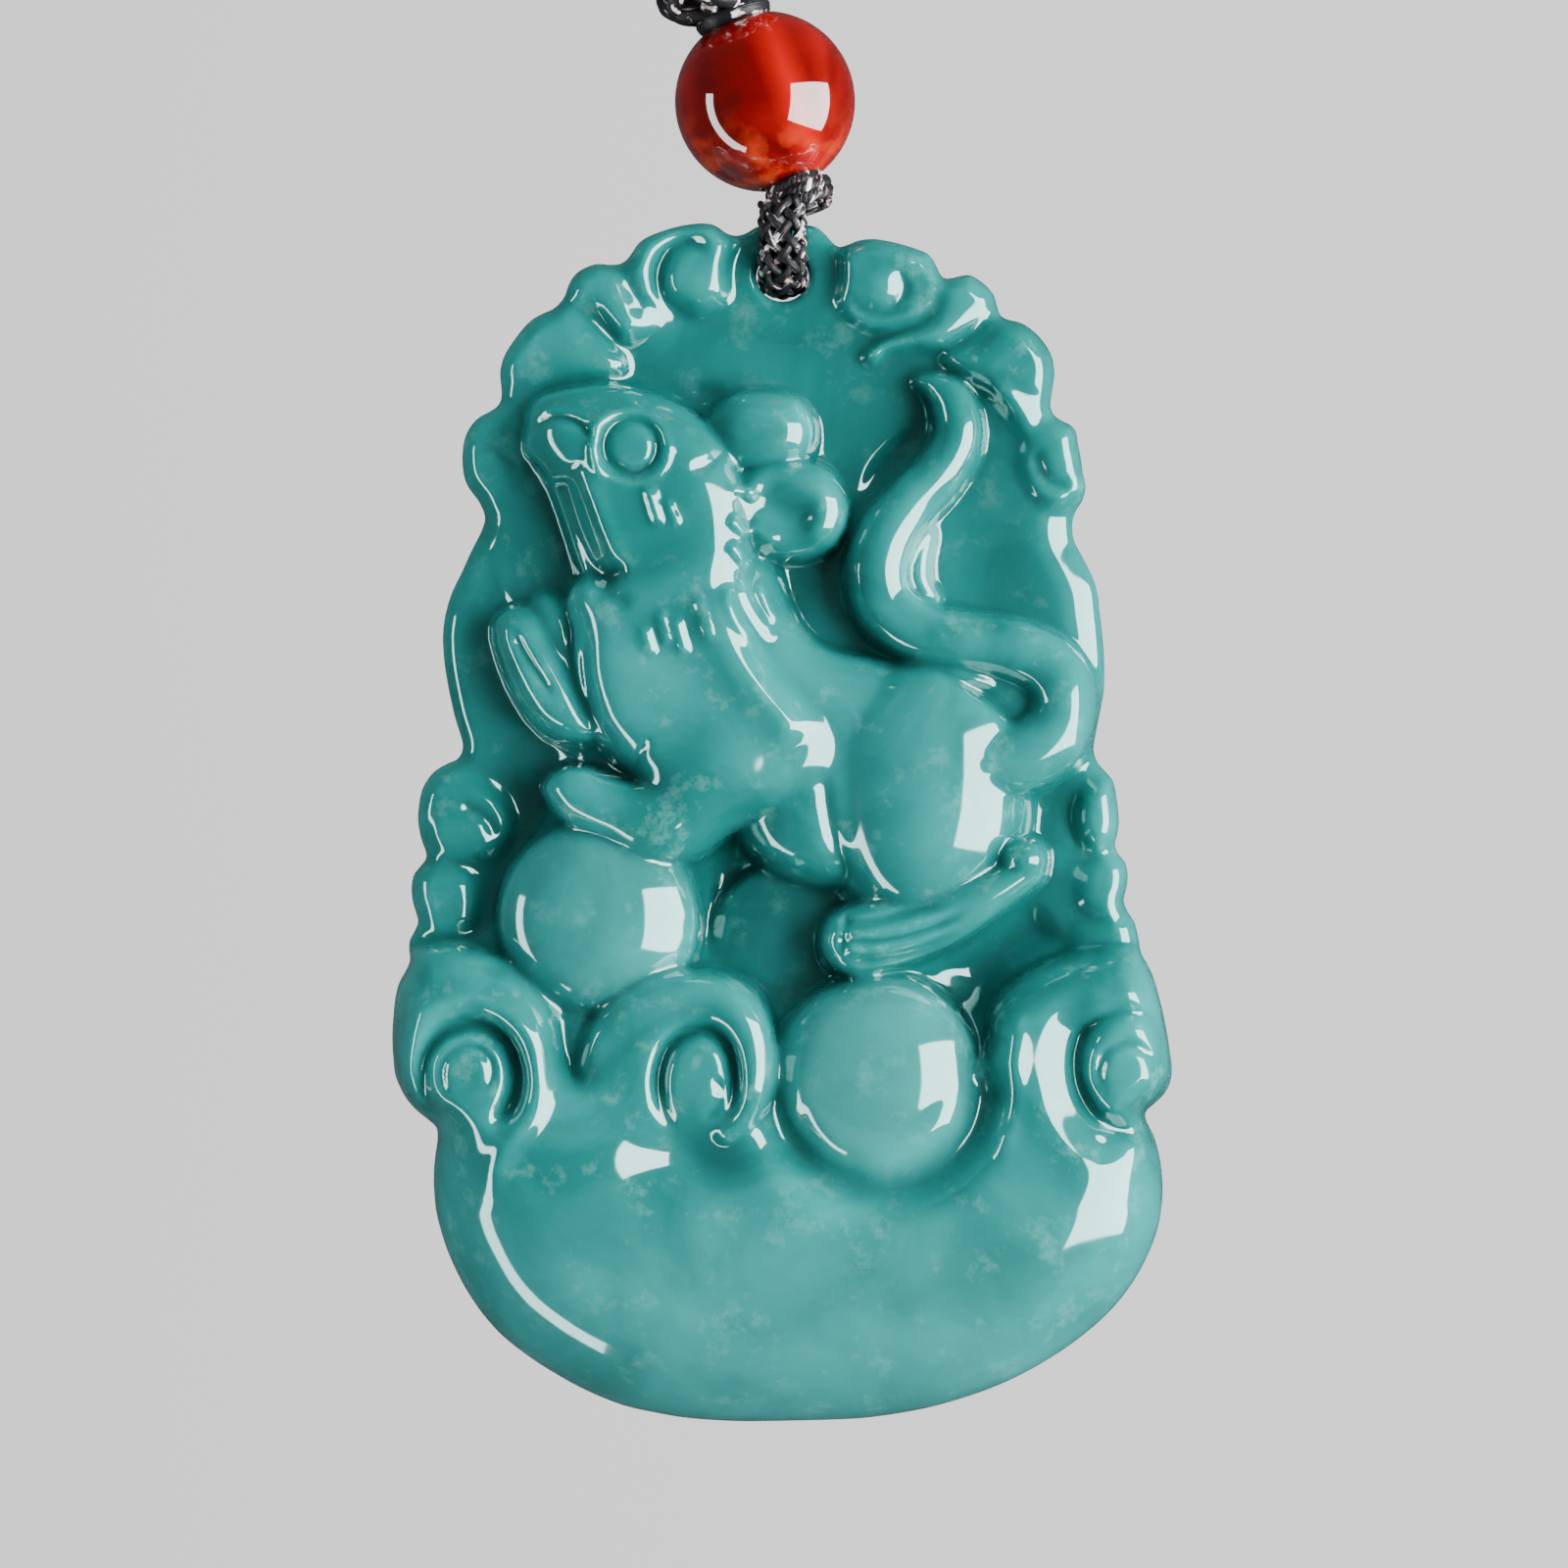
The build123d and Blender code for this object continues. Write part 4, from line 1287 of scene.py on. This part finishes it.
def jade_material():
    """Polished teal jade: cloudy and translucent, with painted shade that makes it darker in its grooves
    and where it is thin.
    """
    dark, light = (0.005, 0.105, 0.098, 1), (0.014, 0.200, 0.192, 1)
    # deep is the colour of the painted shade in the grooves, on the thin ground and over the head
    deep, fleck = (0.001, 0.082, 0.073, 1), (0.11, 0.36, 0.33, 1)
    foot, ball_pale = (0.055, 0.310, 0.298, 1), (0.050, 0.330, 0.315, 1)
    stone = Shading("jade")
    place = stone.add("TexCoord", "Object", {})
    colour = stone.ramp(stone.noise(place, 160, 6, 0.55, 0.8), (0.33, dark), (0.68, light))
    colour = stone.mix(stone.span(stone.noise(place, 620, 4, 0.7), 0.56, 0.75, most=0.4), colour, fleck)
    # Painted shade: darker by how far a point lies below the ground around it, and on the low, thin ground
    groove_shade = stone.span(stone.mark("cavity"), 0.0, 1.3, most=0.85)
    thin_shade = stone.span(stone.mark("rise"), 2.6, 4.6, 0.55, 0.0)
    painted_shade = stone.add("Math", "Value", {0: groove_shade, 1: thin_shade}, operation="MAXIMUM")
    colour = stone.mix(painted_shade, colour, deep)
    height = stone.add("SeparateXYZ", "Z", {"Vector": place})
    colour = stone.mix(stone.span(height, -0.075, -0.086, most=0.28), colour, foot)

    # Paler balls, and painted shade over the head: middle in pixels, inner and outer reach in mm, share,
    # colour
    pale_and_shaded_spots = [
        (left_ball, 3.2, 5.2, 0.15, ball_pale),
        ((895, 1100), 3.2, 5.2, 0.30, ball_pale),
        ((635, 490), 2.8, 7.2, 0.50, deep),
    ]
    for middle, inner, outer, most, tint in pale_and_shaded_spots:
        centre = (across_mm(middle[0]) * MM, -4 * MM, up_mm(middle[1]) * MM)
        away = stone.add("VectorMath", "Value", {1: centre, 0: place}, operation="DISTANCE")
        near = stone.span(away, outer * MM, inner * MM, most=most, interpolation_type="SMOOTHSTEP")
        colour = stone.mix(near, colour, tint)
    return stone.finish({
        "Base Color": colour,
        "Roughness": stone.span(stone.noise(place, 900, 3), 0, 1, 0.04, 0.11),
        "Normal": stone.bump(stone.noise(place, 260), 0.25, 0.00012),
        "IOR": 1.85,
        "Specular Tint": (0.62, 1.0, 0.96, 1),
        "Subsurface Weight": 0.75,
        "Subsurface Radius": (0.25, 1.0, 0.9),
        "Subsurface Scale": 0.0030,
    })


def bead_material():
    """Translucent red agate with a painted glow in a bright band beside its bore, and orange clouds low
    down.
    """
    dark, light, orange = (0.085, 0.0004, 0.0004, 1), (0.19, 0.0015, 0.001, 1), (0.40, 0.028, 0.006, 1)
    glow_red, black, white = (0.32, 0.001, 0.0006, 1), (0, 0, 0, 1), (1, 1, 1, 1)
    agate = Shading("bead")
    place = agate.add("TexCoord", "Object", {})
    colour = agate.ramp(agate.noise(place, 260, 5, distortion=1.2), (0.35, dark), (0.7, light))

    # A bright band beside the bore, along the string: painted glow of light shining through the bead
    aside = agate.add("VectorMath", "Value", {1: string_side, 0: place}, operation="DOT_PRODUCT")
    middle = Vector(bead_middle).dot(string_side) * MM
    share = agate.span(aside, middle - bead_radius * MM, middle + bead_radius * MM)
    painted_glow = agate.ramp(share, (0.50, black), (0.76, (0.02, 0.02, 0.02, 1)), (0.645, white))
    colour = agate.mix(painted_glow, colour, glow_red)

    height = agate.add("SeparateXYZ", "Z", {"Vector": place})
    low = agate.span(height, (bead_middle[2] - 0.5) * MM, (bead_middle[2] - 3.2) * MM)
    patches = agate.span(agate.noise(place, 900, 4), 0.46, 0.66)
    amount = agate.add("Math", "Value", {0: low, 1: patches}, operation="MULTIPLY")
    return agate.finish({
        "Base Color": agate.mix(amount, colour, orange),
        "Roughness": 0.05,
        "IOR": 1.54,
        "Subsurface Weight": 0.8,
        "Subsurface Radius": (1.0, 0.12, 0.05),
        "Subsurface Scale": 0.0025,
        "Coat Weight": 0.5,
        "Coat Roughness": 0.03,
    })


def cord_material():
    """Black twisted filament, with silver and pinkish flecks along each strand that are painted highlights.
    """
    black, glint_silver, glint_pink = (0.006, 0.006, 0.008, 1), (0.72, 0.72, 0.76, 1), (0.60, 0.34, 0.30, 1)
    yarn = Shading("cord")
    marks = {"X": yarn.mark("along"), "Y": yarn.mark("across"), "Z": yarn.mark("strand")}
    place = yarn.add("CombineXYZ", "Vector", marks)
    patches = yarn.add("Mapping", "Vector", {"Scale": (1.1, 0.7, 3.7), "Vector": place})
    # Painted highlights: silver and pinkish glints in patches along each strand
    painted_glints = yarn.span(yarn.noise(patches, 1, 3, 0.6), 0.57, 0.62)
    tint = yarn.ramp(yarn.noise(place, 0.8), (0.45, glint_silver), (0.62, glint_pink))
    threads = yarn.add("Mapping", "Vector", {"Scale": (2.5, 9, 5), "Vector": place})
    return yarn.finish({
        "Base Color": yarn.mix(painted_glints, black, tint),
        "Normal": yarn.bump(yarn.noise(threads, 1), 0.6, 0.00008),
        "Roughness": 0.42,
        "Specular IOR Level": 0.28,
        "IOR": 1.5,
    })


jade.data.materials.append(jade_material())
bead.data.materials.append(bead_material())
cord_finish = cord_material()
for piece in (cord, cord_braid, loop, lower_knot, upper_knot, thread):
    piece.data.materials.append(cord_finish)


# Stage and light

middle_height = -0.050
middle = Vector((jade_middle_x * MM, 0, middle_height))
floor_height = -0.32
floor_front = -1.5
wall_distance = 0.60
wall_bend = 0.25
wall_top = 2.0
wall_half_width = 2.5
backdrop_colour = (0.78, 0.78, 0.77, 1)


def stage_strip(name, pairs, values):
    """A strip of the stage between pairs of points in metres, with a plain material."""
    corners = [np.array(corner) / MM for pair in pairs for corner in pair]
    strips = [(2 * i, 2 * i + 1, 2 * i + 3, 2 * i + 2) for i in range(len(pairs) - 1)]
    piece = add_mesh(name, corners, strips)
    piece.data.materials.append(Shading(name).finish(values))
    return piece


def backdrop():
    """A pale floor that curves up into a wall behind the object."""
    line = [(floor_front, floor_height)]
    for bend in np.linspace(0, math.pi / 2, 24):
        y = wall_distance - wall_bend + wall_bend * math.sin(bend)
        line.append((y, floor_height + wall_bend * (1 - math.cos(bend))))
    line.append((wall_distance, wall_top))
    pairs = [((-wall_half_width, y, z), (wall_half_width, y, z)) for y, z in line]
    piece = stage_strip("backdrop", pairs, {
        "Base Color": backdrop_colour,
        "Emission Color": backdrop_colour,
        "Emission Strength": 0.28,
        "Roughness": 0.9,
    })
    piece.visible_glossy = False
    piece.visible_diffuse = False


def arc_lamp():
    """A narrow glowing arc from the left round to below, well off the camera's axis."""
    away = math.radians(75)
    spread = math.radians(5.5)
    reach = 0.24
    start, finish = 168, 247
    pairs = [
        [
            middle + reach * Vector((
                math.sin(angle) * math.cos(step), -math.cos(angle), math.sin(angle) * math.sin(step)
            ))
            for angle in (away - spread, away + spread)
        ]
        for step in np.radians(np.linspace(start, finish, 40))
    ]
    piece = stage_strip("arc_lamp", pairs, {
        "Base Color": (0, 0, 0, 1),
        "Emission Color": (1, 1, 1, 1),
        "Emission Strength": 14,
    })
    piece.visible_camera = False


def softbox(name, right, up, distance, width, height, power, mirrored=True):
    """A soft lamp that many degrees right of the camera's axis and above it, aimed at the middle."""
    lamp = bpy.data.lights.new(name, "AREA")
    lamp.shape = "RECTANGLE"
    lamp.size = width
    lamp.size_y = height
    lamp.energy = power
    holder = bpy.data.objects.new(name, lamp)
    right, up = math.radians(right), math.radians(up)
    away = Vector((math.sin(right) * math.cos(up), -math.cos(right) * math.cos(up), math.sin(up)))
    holder.location = middle + away * distance
    holder.rotation_euler = away.to_track_quat("Z", "Y").to_euler()
    holder.visible_camera = False
    holder.visible_glossy = mirrored
    bpy.context.scene.collection.objects.link(holder)


def world_light():
    """Pale to the camera, dimmer as light."""
    sky = (0.95, 0.97, 1.0, 1)
    as_light, to_camera = 0.10, 0.8
    world = bpy.data.worlds.new("world")
    bpy.context.scene.world = world
    world.use_nodes = True
    nodes = world.node_tree.nodes
    links = world.node_tree.links
    ray = nodes.new("ShaderNodeLightPath")
    strength = nodes.new("ShaderNodeMapRange")
    strength.inputs["To Min"].default_value = as_light
    strength.inputs["To Max"].default_value = to_camera
    links.new(ray.outputs["Is Camera Ray"], strength.inputs["Value"])
    links.new(strength.outputs["Result"], nodes["Background"].inputs["Strength"])
    nodes["Background"].inputs["Color"].default_value = sky


backdrop()
softbox("right_softbox", 62, -3, 0.36, 0.40, 0.33, 9)
softbox("top_softbox", 10, 62, 0.55, 0.5, 0.4, 3.6, mirrored=False)
softbox("wall_softbox", 180, 40, 0.35, 0.8, 0.3, 5, mirrored=False)
arc_lamp()
world_light()

bpy.context.view_layer.update()
